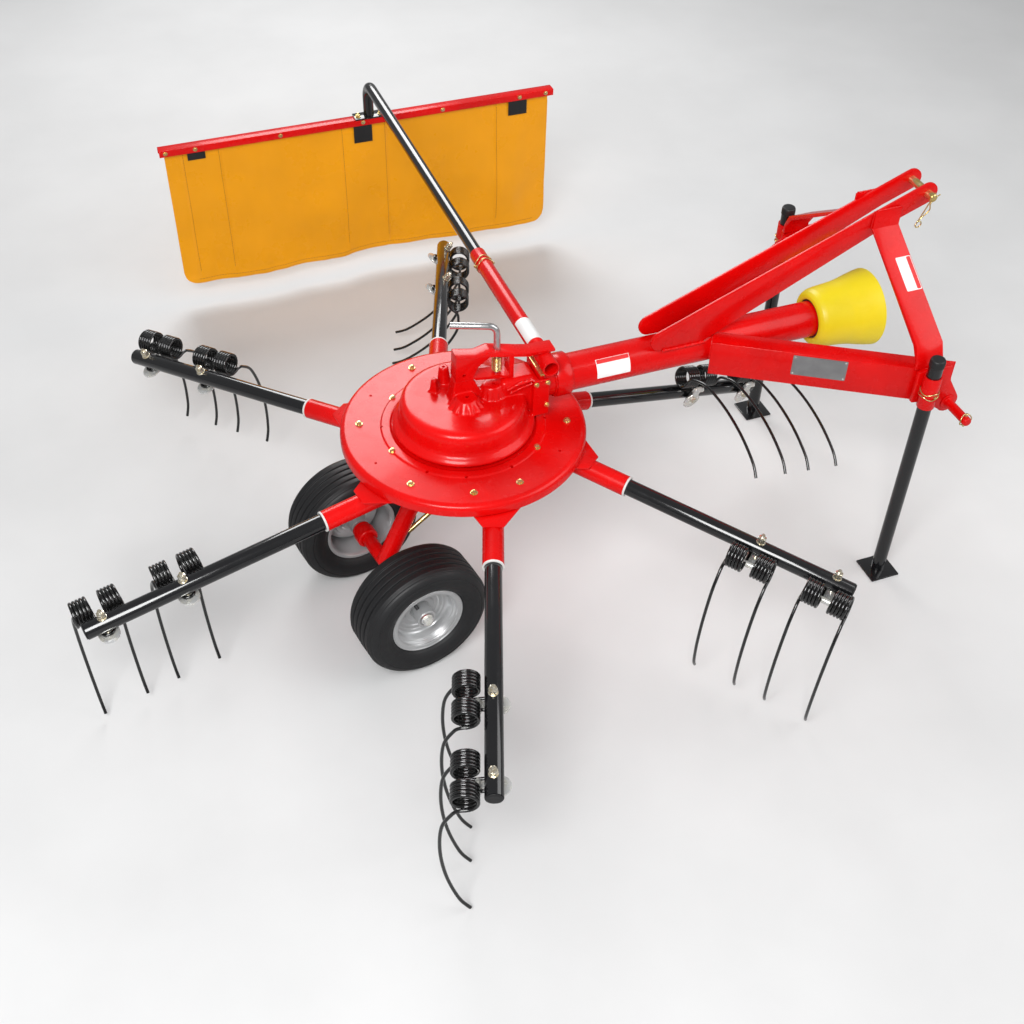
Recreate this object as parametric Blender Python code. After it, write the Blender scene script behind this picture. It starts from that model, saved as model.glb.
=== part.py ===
"""Rotary hay rake carried on a tractor's three-point hitch.

X points forward to the hitch, Y to the left, Z up, and the floor is at zero.
The rotor turns about a vertical axis; everything is placed from that axis
and then moved as one by the frame empty, so that the part's origin is the
middle of its base.
"""
import math

import bmesh
import bpy
from mathutils import Matrix, Vector

# Where the rotor's axis stands from the part's origin.
ROTOR_X = -0.131
ROTOR_Y = -0.333

# Clearances between pieces that touch, and how far a cutter reaches past.
GAP = 0.0003
RUN = 0.0005
PAST = 0.2

# Rotor disc and the housing under it.
DISC_R = 0.3616
DISC_TOP = 0.640
DISC_PLATE = 0.008
DISC_RIM_DROP = 0.038
DISC_BORE = 0.0455
DISC_STEP = (0.215, 0.239)
DISC_STEP_RISE = 0.003
HOUSING_R = 0.200
HOUSING_WALL = 0.004
HOUSING_BOTTOM = 0.486
HOUSING_MOUTH = 0.075

# Tine arms, offset beside the rotor's axis and drooping outward.
ARM_R = 0.02415
ARM_WALL = 0.003
ARM_OFFSET = 0.0865
ARM_HEIGHT = DISC_TOP - 0.0406
ARM_SLOPE = 0.102
ARM_START = 0.300
ARM_END = 1.194
SOCKET_R = 0.0302
SOCKET_START = 0.215
SOCKET_MOUTH = 0.4957
FIRST_ARM = -49.9
ARM_STEP = 60.0
LOW_ARM_HEIGHT = DISC_TOP - 0.029
LOW_ARM_SLOPE = 0.295

# The plates that carry a socket, as outlines of how far out along the arm
# and how far beside its line: the upper one is bolted under the disc and the
# lower one, the wing, lies on the socket. Two ribs join them.
SOCKET_PLATE = ((0.206, -0.085), (0.322, -0.085), (0.285, 0.085), (0.172, 0.085))
SOCKET_WING = (
    (0.215, -0.085), (0.300, -0.085), (0.385, -0.029),
    (0.385, 0.029), (0.300, 0.085), (0.190, 0.085),
)
SOCKET_PLATE_T = 0.008
SOCKET_WING_T = 0.006
SOCKET_RIB_T = 0.008
SOCKET_RIB_SIDE = 0.055
SOCKET_RIB_X = (0.225, 0.290)

# One row an arm: name, how far it is rolled in its socket in degrees (a
# positive roll swings the tines back), how far its tine legs lean outward,
# height of its line at the rotor's axis, and its fall per metre outward.
ARMS = (
    ("1", 3.0, 0.018, ARM_HEIGHT, ARM_SLOPE),
    ("2", 76.0, 0.000, LOW_ARM_HEIGHT, LOW_ARM_SLOPE),
    ("3", -36.0, 0.090, ARM_HEIGHT, ARM_SLOPE),
    ("4", 16.0, 0.070, ARM_HEIGHT, ARM_SLOPE),
    ("5", 1.0, 0.034, ARM_HEIGHT, ARM_SLOPE),
    ("6", -4.0, 0.054, ARM_HEIGHT, ARM_SLOPE),
)

# Sprung double tines: two coils on one wire, beside and behind the arm, and
# how far in from the arm's end each pair is clamped.
TINE_STATIONS = (("outer", 0.0533), ("inner", 0.2813))
WIRE_R = 0.0050
COIL_R = 0.0327
COIL_TURNS = 4
COIL_PITCH = 0.0122
COIL_STEPS = 6
COIL_BEHIND = 0.0703
COIL_FROM_MIDDLE = 0.0168
LOOP_REACH = 0.018
TIP_SPREAD = 0.0656
WIRE_SIDES = 4

# The leg, from where it leaves the coil to its tip: how far behind the arm
# and how far below it.
LEG = (
    (-0.104, -0.047),
    (-0.135, -0.100),
    (-0.147, -0.200),
    (-0.140, -0.310),
    (-0.116, -0.410),
    (-0.090, -0.456),
)

# Column, head and crank.
COLUMN_R = 0.045
COLUMN_TOP = 0.6477
SPINDLE_R = 0.030
SPINDLE_TOP = 0.4495
SPINDLE_FOOT = 0.375
SPINDLE_HEAD_R = 0.038
SPINDLE_HEAD_T = 0.014
HEAD_BASE = 0.648
DRUM_R = 0.188
DRUM_TOP = 0.740
NECK_X = (0.112, 0.215)
NECK_HALF_W = 0.046
NECK_Z = (0.660, 0.790)
LUG_TOP = 0.812
LUG_HALF = 0.020
SIDE_PLATE_X = (0.193, 0.243)
SIDE_PLATE_Z = (0.660, 0.788)
SIDE_PLATE_T = 0.008
CRANK_X = 0.102
CRANK_R = 0.010
CRANK_Z = (0.806, 0.962)
BRACKET_END = 0.272
BRACKET_HALF = 0.023
BRACKET_POST = (0.1345, 0.1458)

# Fluted bosses cast on the head: middle, foot and top radius, and height.
BOSSES = (
    ("front", -0.005, -0.040, 0.052, 0.029, 0.028),
    ("neck", 0.083, -0.014, 0.044, 0.026, 0.036),
)
# Tapered posts cast on the head: middle, foot and top radius, height, sides.
POSTS = (
    ("outer", -0.070, 0.052, 0.019, 0.010, 0.042, 4),
    ("inner", -0.030, 0.085, 0.021, 0.014, 0.052, 12),
)

# Drawbar, fork and top rails.
BEAM_R = 0.0555
BEAM_Z = 0.744
BEAM_X = (0.228, 1.100)
FLANGE_X = (0.2153, 0.2277)
FLANGE_HALF = 0.0555
COLLAR_X = (0.271, 0.318)
COLLAR_R = 0.0645
FORK_START = (0.770, 0.050)
FORK_END = (1.345, 0.400)
FORK_W = 0.060
FORK_Z = (0.683, 0.797)
RAIL_Y = (0.037, 0.048)
RAIL_LOW = (0.600, 0.8182)
RAIL_HIGH = (1.428, 1.153)
RAIL_DEPTH = 0.065
STRAP_X = (1.285, 1.341)
STRAP_T = 0.010
TOP_PIN_R = 0.0125

# Hitch plates, lower pins and parking stands.
PLATE_Y = (0.3947, 0.4087)
PIN_X = 1.392
PIN_Z = 0.657
PIN_R = 0.0143
PIN_SHOULDER = 0.4125
PIN_END = 0.515
EYE_R = 0.036
STAND_X = 1.288
STAND_R = 0.0212
STAND_TOP = 0.8615
STAND_SLEEVE_R = 0.026
STAND_SLEEVE_Z = (0.690, 0.800)
STAND_FOOT = 0.100
STAND_FOOT_T = 0.006

# Drive shaft end and its guard.
SHAFT_R = 0.0175
SHAFT_X = (1.030, 1.325)
GUARD_X = (1.080, 1.345)
GUARD_R = 0.1215
GUARD_WALL = 0.004

# Curtain, its sliding boom and the sleeve that holds it.
BOOM_X = 0.243
BOOM_Z = 0.8245
BOOM_R = 0.020
SLEEVE_R = 0.0252
SLEEVE_Y = (-0.068, 0.558)
BOOM_Y = (0.020, 1.800)
BOOM_BEND = 0.060
BAR_X = (-0.566, 1.002)
BAR_TOP = 0.688
BAR_W = 0.040
BAR_DEPTH = 0.026
BAR_T = 0.003
CURTAIN_X = (-0.548, 0.984)
CURTAIN_T = 0.004
CURTAIN_BOTTOM = 0.085

# Castor frame and wheels.
CASTOR_YAW = 10.0
CASTOR_TRAIL = 0.280
CASTOR_HUB_R = 0.056
CASTOR_HUB_Z = (0.3895, 0.449)
CASTOR_TUBE_R = 0.027
WHEEL_R = 0.200
WHEEL_W = 0.160
WHEEL_Y = 0.2225
RIM_R = 0.104
RIM_FLANGE_R = 0.116
HUB_R = 0.030
HUB_HALF = 0.052
STUB_R = 0.0125
AXLE_R = 0.022
LINK_R = 0.008


def material(name, colour, roughness, metallic):
    """Make one surface."""
    found = bpy.data.materials.get(name)
    if found:
        return found
    made = bpy.data.materials.new(name)
    made.use_nodes = True
    shader = made.node_tree.nodes["Principled BSDF"]
    shader.inputs["Base Color"].default_value = (*colour, 1.0)
    shader.inputs["Roughness"].default_value = roughness
    shader.inputs["Metallic"].default_value = metallic
    made.diffuse_color = (*colour, 1.0)
    return made


def red_paint():
    return material("red_paint", (0.62, 0.008, 0.006), 0.28, 0.0)


def black_paint():
    return material("black_paint", (0.012, 0.012, 0.013), 0.35, 0.0)


def spring_steel():
    return material("spring_steel", (0.010, 0.010, 0.011), 0.32, 0.2)


def tyre_rubber():
    return material("tyre_rubber", (0.014, 0.014, 0.015), 0.7, 0.0)


def silver_paint():
    return material("silver_paint", (0.42, 0.43, 0.44), 0.35, 0.6)


def guard_plastic():
    return material("guard_plastic", (0.85, 0.70, 0.02), 0.4, 0.0)


def curtain_canvas():
    return material("curtain_canvas", (0.78, 0.33, 0.01), 0.6, 0.0)


def bare_steel():
    return material("bare_steel", (0.45, 0.45, 0.46), 0.35, 1.0)


def zinc_plate():
    return material("zinc_plate", (0.62, 0.50, 0.24), 0.35, 1.0)


def finish(name, bm, surface, parent, place=None):
    """Turn a bmesh into a named object under its parent."""
    if place is not None:
        bmesh.ops.transform(bm, matrix=place, verts=bm.verts[:])
    bmesh.ops.recalc_face_normals(bm, faces=bm.faces[:])
    mesh = bpy.data.meshes.new(name)
    bm.to_mesh(mesh)
    bm.free()
    mesh.materials.append(surface)
    mesh.shade_smooth()
    mesh.set_sharp_from_angle(angle=math.radians(35.0))
    made = bpy.data.objects.new(name, mesh)
    bpy.context.collection.objects.link(made)
    made.parent = parent
    return made


def add_empty(name, parent, location=(0.0, 0.0, 0.0), yaw=0.0):
    made = bpy.data.objects.new(name, None)
    made.empty_display_size = 0.1
    made.location = location
    made.rotation_euler = (0.0, 0.0, yaw)
    bpy.context.collection.objects.link(made)
    made.parent = parent
    return made


def helper(name, bm, parent, place=None):
    """A hidden solid that a Boolean reads."""
    made = finish(name, bm, red_paint(), parent, place)
    made.hide_render = True
    made.display_type = "WIRE"
    return made


def rod_cutter(radius, low, high, sides):
    """A plain cylinder that a Boolean cuts with."""
    return turned([(0.0, low), (radius, low), (radius, high), (0.0, high)], sides)


def boolean(made, other, operation):
    step = made.modifiers.new(operation.lower(), "BOOLEAN")
    step.operation = operation
    step.solver = "EXACT"
    step.object = other


def box(low, high):
    """An upright box between two corners."""
    bm = bmesh.new()
    bmesh.ops.create_cube(bm, size=1.0)
    size = Vector(high) - Vector(low)
    middle = (Vector(high) + Vector(low)) / 2.0
    bmesh.ops.scale(bm, vec=size, verts=bm.verts[:])
    bmesh.ops.translate(bm, vec=middle, verts=bm.verts[:])
    return bm


def turned(profile, sides):
    """Spin a closed outline of (radius, height) points about Z.

    An outline whose first and last points lie on the axis closes there, and
    any other outline is a ring.
    """
    bm = bmesh.new()
    rings = []
    for radius, height in profile:
        if radius < 1e-6:
            rings.append([bm.verts.new((0.0, 0.0, height))])
            continue
        ring = []
        for step in range(sides):
            angle = 2.0 * math.pi * (step + 0.5) / sides
            ring.append(bm.verts.new((radius * math.cos(angle), radius * math.sin(angle), height)))
        rings.append(ring)
    solid = len(rings[0]) == 1
    count = len(rings) - 1 if solid else len(rings)
    for index in range(count):
        near = rings[index]
        far = rings[(index + 1) % len(rings)]
        for step in range(sides):
            after = (step + 1) % sides
            if len(near) == 1:
                bm.faces.new((near[0], far[step], far[after]))
            elif len(far) == 1:
                bm.faces.new((near[step], near[after], far[0]))
            else:
                bm.faces.new((near[step], near[after], far[after], far[step]))
    return bm


def along_x(x=0.0, y=0.0, z=0.0):
    """Lay a turned piece with its height along +X."""
    return Matrix.Translation((x, y, z)) @ Matrix.Rotation(math.pi / 2.0, 4, "Y")


def along_y(x=0.0, y=0.0, z=0.0):
    """Lay a turned piece with its height along +Y."""
    return Matrix.Translation((x, y, z)) @ Matrix.Rotation(-math.pi / 2.0, 4, "X")


def swept(points, radius, sides, normal):
    """A round bar along a line of points, closed at both ends."""
    bm = bmesh.new()
    points = [Vector(point) for point in points]
    normal = Vector(normal).normalized()
    rings = []
    for index, point in enumerate(points):
        before = points[max(index - 1, 0)]
        after = points[min(index + 1, len(points) - 1)]
        tangent = (after - before).normalized()
        normal = (normal - tangent * normal.dot(tangent)).normalized()
        side = tangent.cross(normal)
        ring = []
        for step in range(sides):
            angle = 2.0 * math.pi * step / sides
            offset = normal * math.cos(angle) + side * math.sin(angle)
            ring.append(bm.verts.new(point + offset * radius))
        rings.append(ring)
    for near, far in zip(rings, rings[1:]):
        for step in range(sides):
            after = (step + 1) % sides
            bm.faces.new((near[step], near[after], far[after], far[step]))
    bm.faces.new(rings[0])
    bm.faces.new(rings[-1])
    return bm


def slab(outline, low, high, axis):
    """A plate: a flat outline given thickness along one axis.

    Axis Y reads the outline as (x, z), axis X as (y, z), axis Z as (x, y).
    """
    bm = bmesh.new()
    places = {
        "X": lambda a, b, t: (t, a, b),
        "Y": lambda a, b, t: (a, t, b),
        "Z": lambda a, b, t: (a, b, t),
    }
    place = places[axis]
    lower = [bm.verts.new(place(a, b, low)) for a, b in outline]
    upper = [bm.verts.new(place(a, b, high)) for a, b in outline]
    for index in range(len(outline)):
        after = (index + 1) % len(outline)
        bm.faces.new((lower[index], lower[after], upper[after], upper[index]))
    bm.faces.new(lower)
    bm.faces.new(upper)
    return bm


def arc(centre, radius, start, stop, steps):
    """Points on an arc between two angles in degrees."""
    found = []
    for step in range(steps + 1):
        angle = math.radians(start + (stop - start) * step / steps)
        found.append((centre[0] + radius * math.cos(angle), centre[1] + radius * math.sin(angle)))
    return found


def bore(radius, clearance, sides):
    """Corner radius of a faceted bore whose flats clear a round piece."""
    return (radius + clearance) / math.cos(math.pi / sides)


def tube_profile(outer, inner, low, high):
    return [(outer, low), (outer, high), (inner, high), (inner, low)]


def arm_frame(index, height, slope):
    """From (along, leading, up) beside an arm to the rotor's own frame."""
    heading = math.radians(FIRST_ARM + ARM_STEP * index)
    turn = Matrix.Rotation(heading, 4, "Z")
    shift = Matrix.Translation((0.0, ARM_OFFSET, height))
    tilt = Matrix.Rotation(math.atan(slope), 4, "Y")
    return turn @ shift @ tilt


def reach(slope, plan):
    """Distance along a drooping arm for a distance in plan."""
    return plan * math.sqrt(1.0 + slope * slope)


def build_disc(rotor):
    top = DISC_TOP
    under = DISC_TOP - DISC_PLATE
    rim = DISC_TOP - DISC_RIM_DROP
    sides = 36
    inner = bore(COLUMN_R, GAP, sides)
    profile = [
        (inner, under - 0.010),
        (DISC_BORE + 0.030, under - 0.010),
        (DISC_BORE + 0.034, under),
        (DISC_R - 0.022, under),
        (DISC_R - 0.009, under - 0.010),
        (DISC_R - 0.006, rim),
        (DISC_R, rim),
        (DISC_R, top - 0.016),
        (DISC_R - 0.005, top - 0.005),
        (DISC_R - 0.018, top),
        (DISC_STEP[1], top),
        (DISC_STEP[1] - 0.008, top + DISC_STEP_RISE),
        (DISC_STEP[0] + 0.008, top + DISC_STEP_RISE),
        (DISC_STEP[0], top),
        (DISC_BORE + 0.034, top),
        (DISC_BORE + 0.028, top + 0.0074),
        (inner, top + 0.0074),
    ]
    return finish("rotor_disc", turned(profile, sides), red_paint(), rotor)


def build_housing(rotor):
    top = DISC_TOP - DISC_PLATE - GAP
    bottom = HOUSING_BOTTOM
    profile = [
        (HOUSING_MOUTH, bottom),
        (HOUSING_R - 0.02, bottom),
        (HOUSING_R, bottom + 0.02),
        (HOUSING_R, top),
        (HOUSING_R - HOUSING_WALL, top),
        (HOUSING_R - HOUSING_WALL, bottom + 0.02 + HOUSING_WALL),
        (HOUSING_R - 0.02, bottom + HOUSING_WALL),
        (HOUSING_MOUTH, bottom + HOUSING_WALL),
    ]
    return finish("rotor_housing", turned(profile, 28), red_paint(), rotor)


def build_socket(rotor, index, name, height, slope):
    frame = arm_frame(index, height, slope)
    start = reach(slope, SOCKET_START)
    mouth = reach(slope, SOCKET_MOUTH)
    sides = 20
    inner = bore(ARM_R, GAP, sides)
    stop = reach(slope, ARM_START) - GAP
    profile = [
        (0.0, start),
        (SOCKET_R, start),
        (SOCKET_R, mouth),
        (inner, mouth),
        (inner, stop),
        (0.0, stop),
    ]
    tube = turned(profile, sides)
    socket = finish("arm_socket_" + name, tube, red_paint(), rotor, frame @ along_x())
    heading = Matrix.Rotation(math.radians(FIRST_ARM + ARM_STEP * index), 4, "Z")
    top = DISC_TOP - DISC_PLATE - GAP
    outline = [(along, ARM_OFFSET + beside) for along, beside in SOCKET_PLATE]
    plate = slab(outline, top - SOCKET_PLATE_T, top, "Z")
    boolean(socket, helper("socket_plate_" + name, plate, rotor, heading), "UNION")
    seat = (SOCKET_R + bore(ARM_R, GAP, sides)) / 2.0 - GAP
    outline = [(reach(slope, along), beside) for along, beside in SOCKET_WING]
    wing = slab(outline, seat, seat + SOCKET_WING_T, "Z")
    boolean(socket, helper("socket_wing_" + name, wing, rotor, frame), "UNION")
    for side, tag in ((-1.0, "_a"), (1.0, "_b")):
        outline = []
        for along in SOCKET_RIB_X:
            outline.append((along, height - slope * along + seat + SOCKET_WING_T / 2.0))
        for along in reversed(SOCKET_RIB_X):
            outline.append((along, top - SOCKET_PLATE_T / 2.0))
        beside = ARM_OFFSET + side * SOCKET_RIB_SIDE
        low, high = beside - SOCKET_RIB_T / 2.0, beside + SOCKET_RIB_T / 2.0
        rib = slab(outline, low, high, "Y")
        boolean(socket, helper("socket_rib_" + name + tag, rib, rotor, heading), "UNION")
    return socket


def build_arm(rotor, index, name, roll, height, slope):
    frame = arm_frame(index, height, slope) @ Matrix.Rotation(math.radians(-roll), 4, "X")
    start = reach(slope, ARM_START)
    end = reach(slope, ARM_END)
    profile = tube_profile(ARM_R, ARM_R - ARM_WALL, start, end)
    return finish("tine_arm_" + name, turned(profile, 18), black_paint(), rotor, frame @ along_x())


def half_tine(lean, side):
    """Points from the middle of the clamp loop out to one tip."""
    loop_level = -(ARM_R + WIRE_R + GAP)
    points = [
        (0.0, LOOP_REACH, loop_level),
        (side * COIL_FROM_MIDDLE * 0.7, LOOP_REACH * 0.7, loop_level),
        (side * COIL_FROM_MIDDLE, 0.0, loop_level),
        (side * COIL_FROM_MIDDLE, -COIL_BEHIND * 0.5, (loop_level - COIL_R) / 2.0),
    ]
    total = COIL_TURNS * COIL_STEPS
    for step in range(total + 1):
        angle = -math.pi / 2.0 - 2.0 * math.pi * step / COIL_STEPS
        along = COIL_FROM_MIDDLE + COIL_PITCH * step / COIL_STEPS
        behind = -COIL_BEHIND + COIL_R * math.cos(angle)
        up = COIL_R * math.sin(angle)
        points.append((side * along, behind, up))
    last = COIL_FROM_MIDDLE + COIL_PITCH * COIL_TURNS
    depth = LEG[-1][1]
    for behind, up in LEG:
        share = up / depth
        along = side * (last + (TIP_SPREAD - last) * share) + lean * share
        points.append((along, behind, up))
    return points


def build_tine(rotor, index, name, station, inset, roll, lean, height, slope):
    frame = arm_frame(index, height, slope) @ Matrix.Rotation(math.radians(-roll), 4, "X")
    frame = frame @ Matrix.Translation((reach(slope, ARM_END - inset), 0.0, 0.0))
    outward = half_tine(lean, 1.0)
    inward = half_tine(lean, -1.0)
    points = inward[:0:-1] + outward
    bm = swept(points, WIRE_R, WIRE_SIDES, (1.0, 0.0, 0.0))
    label = "double_tine_" + name + "_" + station
    return finish(label, bm, spring_steel(), rotor, frame)


def build_rotor(rotor):
    build_disc(rotor)
    build_housing(rotor)
    for index, (name, roll, lean, height, slope) in enumerate(ARMS):
        build_socket(rotor, index, name, height, slope)
        build_arm(rotor, index, name, roll, height, slope)
        for station, inset in TINE_STATIONS:
            build_tine(rotor, index, name, station, inset, roll, lean, height, slope)


def build_column(base):
    profile = [
        (0.0, SPINDLE_FOOT),
        (SPINDLE_HEAD_R, SPINDLE_FOOT),
        (SPINDLE_HEAD_R, SPINDLE_FOOT + SPINDLE_HEAD_T),
        (SPINDLE_R, SPINDLE_FOOT + SPINDLE_HEAD_T),
        (SPINDLE_R, SPINDLE_TOP),
        (COLUMN_R, SPINDLE_TOP),
        (COLUMN_R, COLUMN_TOP),
        (0.0, COLUMN_TOP),
    ]
    return finish("column", turned(profile, 24), bare_steel(), base)


def fluted(foot, top, low, high, flutes):
    """A boss whose draughted side is cast in flutes that fade toward its top."""
    bm = bmesh.new()
    sides = 2 * flutes
    rings = []
    for radius, depth, level in ((foot, 0.14, low), (foot, 0.14, low + 0.010), (top, 0.02, high)):
        ring = []
        for step in range(sides):
            angle = 2.0 * math.pi * step / sides
            away = radius * (1.0 - depth * (step % 2))
            ring.append(bm.verts.new((away * math.cos(angle), away * math.sin(angle), level)))
        rings.append(ring)
    for near, far in zip(rings, rings[1:]):
        for step in range(sides):
            after = (step + 1) % sides
            bm.faces.new((near[step], near[after], far[after], far[step]))
    bm.faces.new(rings[0])
    bm.faces.new(rings[-1])
    return bm


def build_head(base):
    """The gear head: a skirted drum, a neck toward the drawbar, castings on top."""
    low = HEAD_BASE
    top = DRUM_TOP
    profile = [
        (0.0, low),
        (DRUM_R + 0.019, low),
        (DRUM_R + 0.021, low + 0.007),
        (DRUM_R + 0.015, low + 0.015),
        (DRUM_R + 0.003, low + 0.024),
        (DRUM_R, low + 0.034),
        (DRUM_R - 0.004, top - 0.024),
        (DRUM_R - 0.009, top - 0.009),
        (DRUM_R - 0.018, top - 0.002),
        (DRUM_R - 0.038, top),
        (0.0, top),
    ]
    drum = finish("gear_head", turned(profile, 32), red_paint(), base)
    sunk = top - 0.010
    neck = box((NECK_X[0], -NECK_HALF_W, NECK_Z[0]), (NECK_X[1], NECK_HALF_W, NECK_Z[1]))
    boolean(drum, helper("head_neck", neck, base), "UNION")
    face = -(FLANGE_HALF + GAP)
    plate = box((SIDE_PLATE_X[0], face - SIDE_PLATE_T, SIDE_PLATE_Z[0]),
                (SIDE_PLATE_X[1], face, SIDE_PLATE_Z[1]))
    boolean(drum, helper("head_side_plate", plate, base), "UNION")
    root = box((SIDE_PLATE_X[0], face - SIDE_PLATE_T / 2.0, SIDE_PLATE_Z[0] + 0.006),
               (NECK_X[1], -NECK_HALF_W / 2.0, SIDE_PLATE_Z[1] - 0.006))
    boolean(drum, helper("head_side_root", root, base), "UNION")
    lug = slab([(-0.045, sunk), (0.060, sunk), (0.024, LUG_TOP), (-0.030, LUG_TOP)],
               -LUG_HALF, LUG_HALF, "Y")
    boolean(drum, helper("head_lug", lug, base), "UNION")
    for name, x, y, foot, upper, tall in BOSSES:
        boss = fluted(foot, upper, sunk, top + tall, 12)
        place = Matrix.Translation((x, y, 0.0))
        boolean(drum, helper("head_boss_" + name, boss, base, place), "UNION")
    for name, x, y, foot, upper, tall, sides in POSTS:
        post = turned([(0.0, sunk), (foot, sunk), (upper, top + tall), (0.0, top + tall)], sides)
        place = Matrix.Translation((x, y, 0.0))
        boolean(drum, helper("head_post_" + name, post, base, place), "UNION")
    return drum


def build_crank_bracket(base):
    """A loop of bar from the lug to the boom sleeve, with the crank in its window."""
    seat = NECK_Z[1] + GAP
    over = BOOM_Z + SLEEVE_R + GAP
    inner, outer = BRACKET_POST
    outline = [
        (-0.030, LUG_TOP + GAP),
        (-0.026, 0.899),
        (0.036, 0.885),
        (0.074, 0.8945),
        (0.167, over + 0.018),
        (0.200, over + 0.0105),
        (BRACKET_END, over + 0.008),
        (BRACKET_END, over),
        (0.190, over),
        (outer, over + 0.010),
        (outer, seat),
        (0.123, seat),
        (0.030, LUG_TOP - 0.0055),
        (0.0245, LUG_TOP + GAP),
    ]
    bar = slab(outline, -BRACKET_HALF, BRACKET_HALF, "Y")
    bracket = finish("crank_bracket", bar, red_paint(), base)
    window = [
        (0.022, LUG_TOP + 0.0040),
        (0.037, 0.8506),
        (0.0716, 0.8770),
        (inner - 0.003, 0.8647),
        (inner, seat + 0.008),
    ]
    cutter = slab(window, -2.0 * BRACKET_HALF, 2.0 * BRACKET_HALF, "Y")
    boolean(bracket, helper("crank_window", cutter, base), "DIFFERENCE")
    hole = rod_cutter(bore(CRANK_R, RUN, 20), over, over + PAST, 20)
    place = Matrix.Translation((CRANK_X, 0.0, 0.0))
    boolean(bracket, helper("crank_bore", hole, base, place), "DIFFERENCE")
    return bracket


def build_crank(base):
    """A height screw with a cranked handle at its top."""
    low, high = CRANK_Z
    points = [(CRANK_X, 0.0, low), (CRANK_X, 0.0, low + 0.06), (CRANK_X, 0.0, high - 0.03)]
    for a, b in arc((CRANK_X - 0.02, high - 0.02), 0.02, 0.0, 90.0, 3):
        points.append((a, 0.004, b))
    points.append((CRANK_X - 0.10, 0.034, high))
    points.append((CRANK_X - 0.125, 0.042, high + 0.004))
    return finish("height_crank", swept(points, CRANK_R, 12, (0.0, 1.0, 0.0)), bare_steel(), base)


def build_drawbar(base):
    sides = 32
    inner = bore(SHAFT_R, RUN, sides)
    back = SHAFT_X[0] - 0.002
    profile = [
        (0.0, BEAM_X[0]),
        (BEAM_R, BEAM_X[0]),
        (BEAM_R, COLLAR_X[0]),
        (COLLAR_R, COLLAR_X[0]),
        (COLLAR_R, COLLAR_X[1]),
        (BEAM_R, COLLAR_X[1]),
        (BEAM_R, BEAM_X[1]),
        (inner, BEAM_X[1]),
        (inner, back),
        (0.0, back),
    ]
    finish("drawbar", turned(profile, sides), red_paint(), base, along_x(0.0, 0.0, BEAM_Z))
    half = FLANGE_HALF
    plate = box((FLANGE_X[0], -half, BEAM_Z - half), (FLANGE_X[1], half, BEAM_Z + 0.055))
    finish("drawbar_flange", plate, red_paint(), base)


def build_fork(base, side, tag):
    """A box arm that spreads from the drawbar to the hitch plate."""
    start = Vector((FORK_START[0], side * FORK_START[1]))
    end = Vector((FORK_END[0], side * FORK_END[1]))
    run = (end - start).normalized()
    across = Vector((-run.y, run.x)) * FORK_W / 2.0
    tail = end + run * 0.05
    outline = [start + across, start - across, tail - across, tail + across]
    bm = slab([(point.x, point.y) for point in outline], FORK_Z[0], FORK_Z[1], "Z")
    arm = finish("fork_arm_" + tag, bm, red_paint(), base)
    back, front = FORK_START[0] - PAST, PIN_X + PAST
    under, over = FORK_Z[0] - PAST, FORK_Z[1] + PAST
    seat = rod_cutter(bore(BEAM_R, GAP, 32), back, front, 32)
    boolean(arm, helper("fork_seat_" + tag, seat, base, along_x(0.0, 0.0, BEAM_Z)), "DIFFERENCE")
    low, high = sorted((side * (PLATE_Y[0] - GAP), side * (PLATE_Y[0] + PAST)))
    trim = box((BEAM_X[1], low, under), (front, high, over))
    boolean(arm, helper("fork_trim_" + tag, trim, base), "DIFFERENCE")
    inside, middle = sorted((-side * PAST, side * GAP * 0.5))
    halve = box((back, inside, under), (front, middle, over))
    boolean(arm, helper("fork_half_" + tag, halve, base), "DIFFERENCE")
    return arm


def build_rail(base, side, tag):
    """A flat bar with round ends, from the drawbar up to the top pin."""
    lean = math.degrees(math.atan2(RAIL_HIGH[1] - RAIL_LOW[1], RAIL_HIGH[0] - RAIL_LOW[0]))
    radius = RAIL_DEPTH / 2.0
    outline = arc(RAIL_LOW, radius, lean + 90.0, lean + 270.0, 8)
    outline += arc(RAIL_HIGH, radius, lean - 90.0, lean + 90.0, 8)
    low, high = sorted((side * RAIL_Y[0], side * RAIL_Y[1]))
    rail = finish("top_rail_" + tag, slab(outline, low, high, "Y"), red_paint(), base)
    hole = rod_cutter(bore(TOP_PIN_R, GAP, 16), -PAST, PAST, 16)
    place = along_y(RAIL_HIGH[0], 0.0, RAIL_HIGH[1])
    boolean(rail, helper("rail_hole_" + tag, hole, base, place), "DIFFERENCE")
    return rail


def build_strap(base, side, tag):
    """A bent flat bar from a top rail down and out to the hitch plate."""
    rise = (RAIL_HIGH[1] - RAIL_LOW[1]) / (RAIL_HIGH[0] - RAIL_LOW[0])
    rail = RAIL_LOW[1] + rise * ((STRAP_X[0] + STRAP_X[1]) / 2.0 - RAIL_LOW[0])
    low = FORK_Z[1] + GAP
    inner = RAIL_Y[1] + GAP
    foot = PLATE_Y[0] - GAP
    line = [
        (inner, rail + 0.0235),
        (inner, rail - 0.0365),
        (foot - STRAP_T - 0.028, low + 0.065),
        (foot - STRAP_T, low + 0.023),
        (foot - STRAP_T, low),
    ]
    back = [
        (foot, low),
        (foot, low + 0.027),
        (foot - 0.020, low + 0.071),
        (inner + STRAP_T, rail - 0.0325),
        (inner + STRAP_T, rail + 0.0235),
    ]
    outline = [(side * a, b) for a, b in line + back]
    return finish("mast_strap_" + tag, slab(outline, STRAP_X[0], STRAP_X[1], "X"),
                  red_paint(), base)


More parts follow.
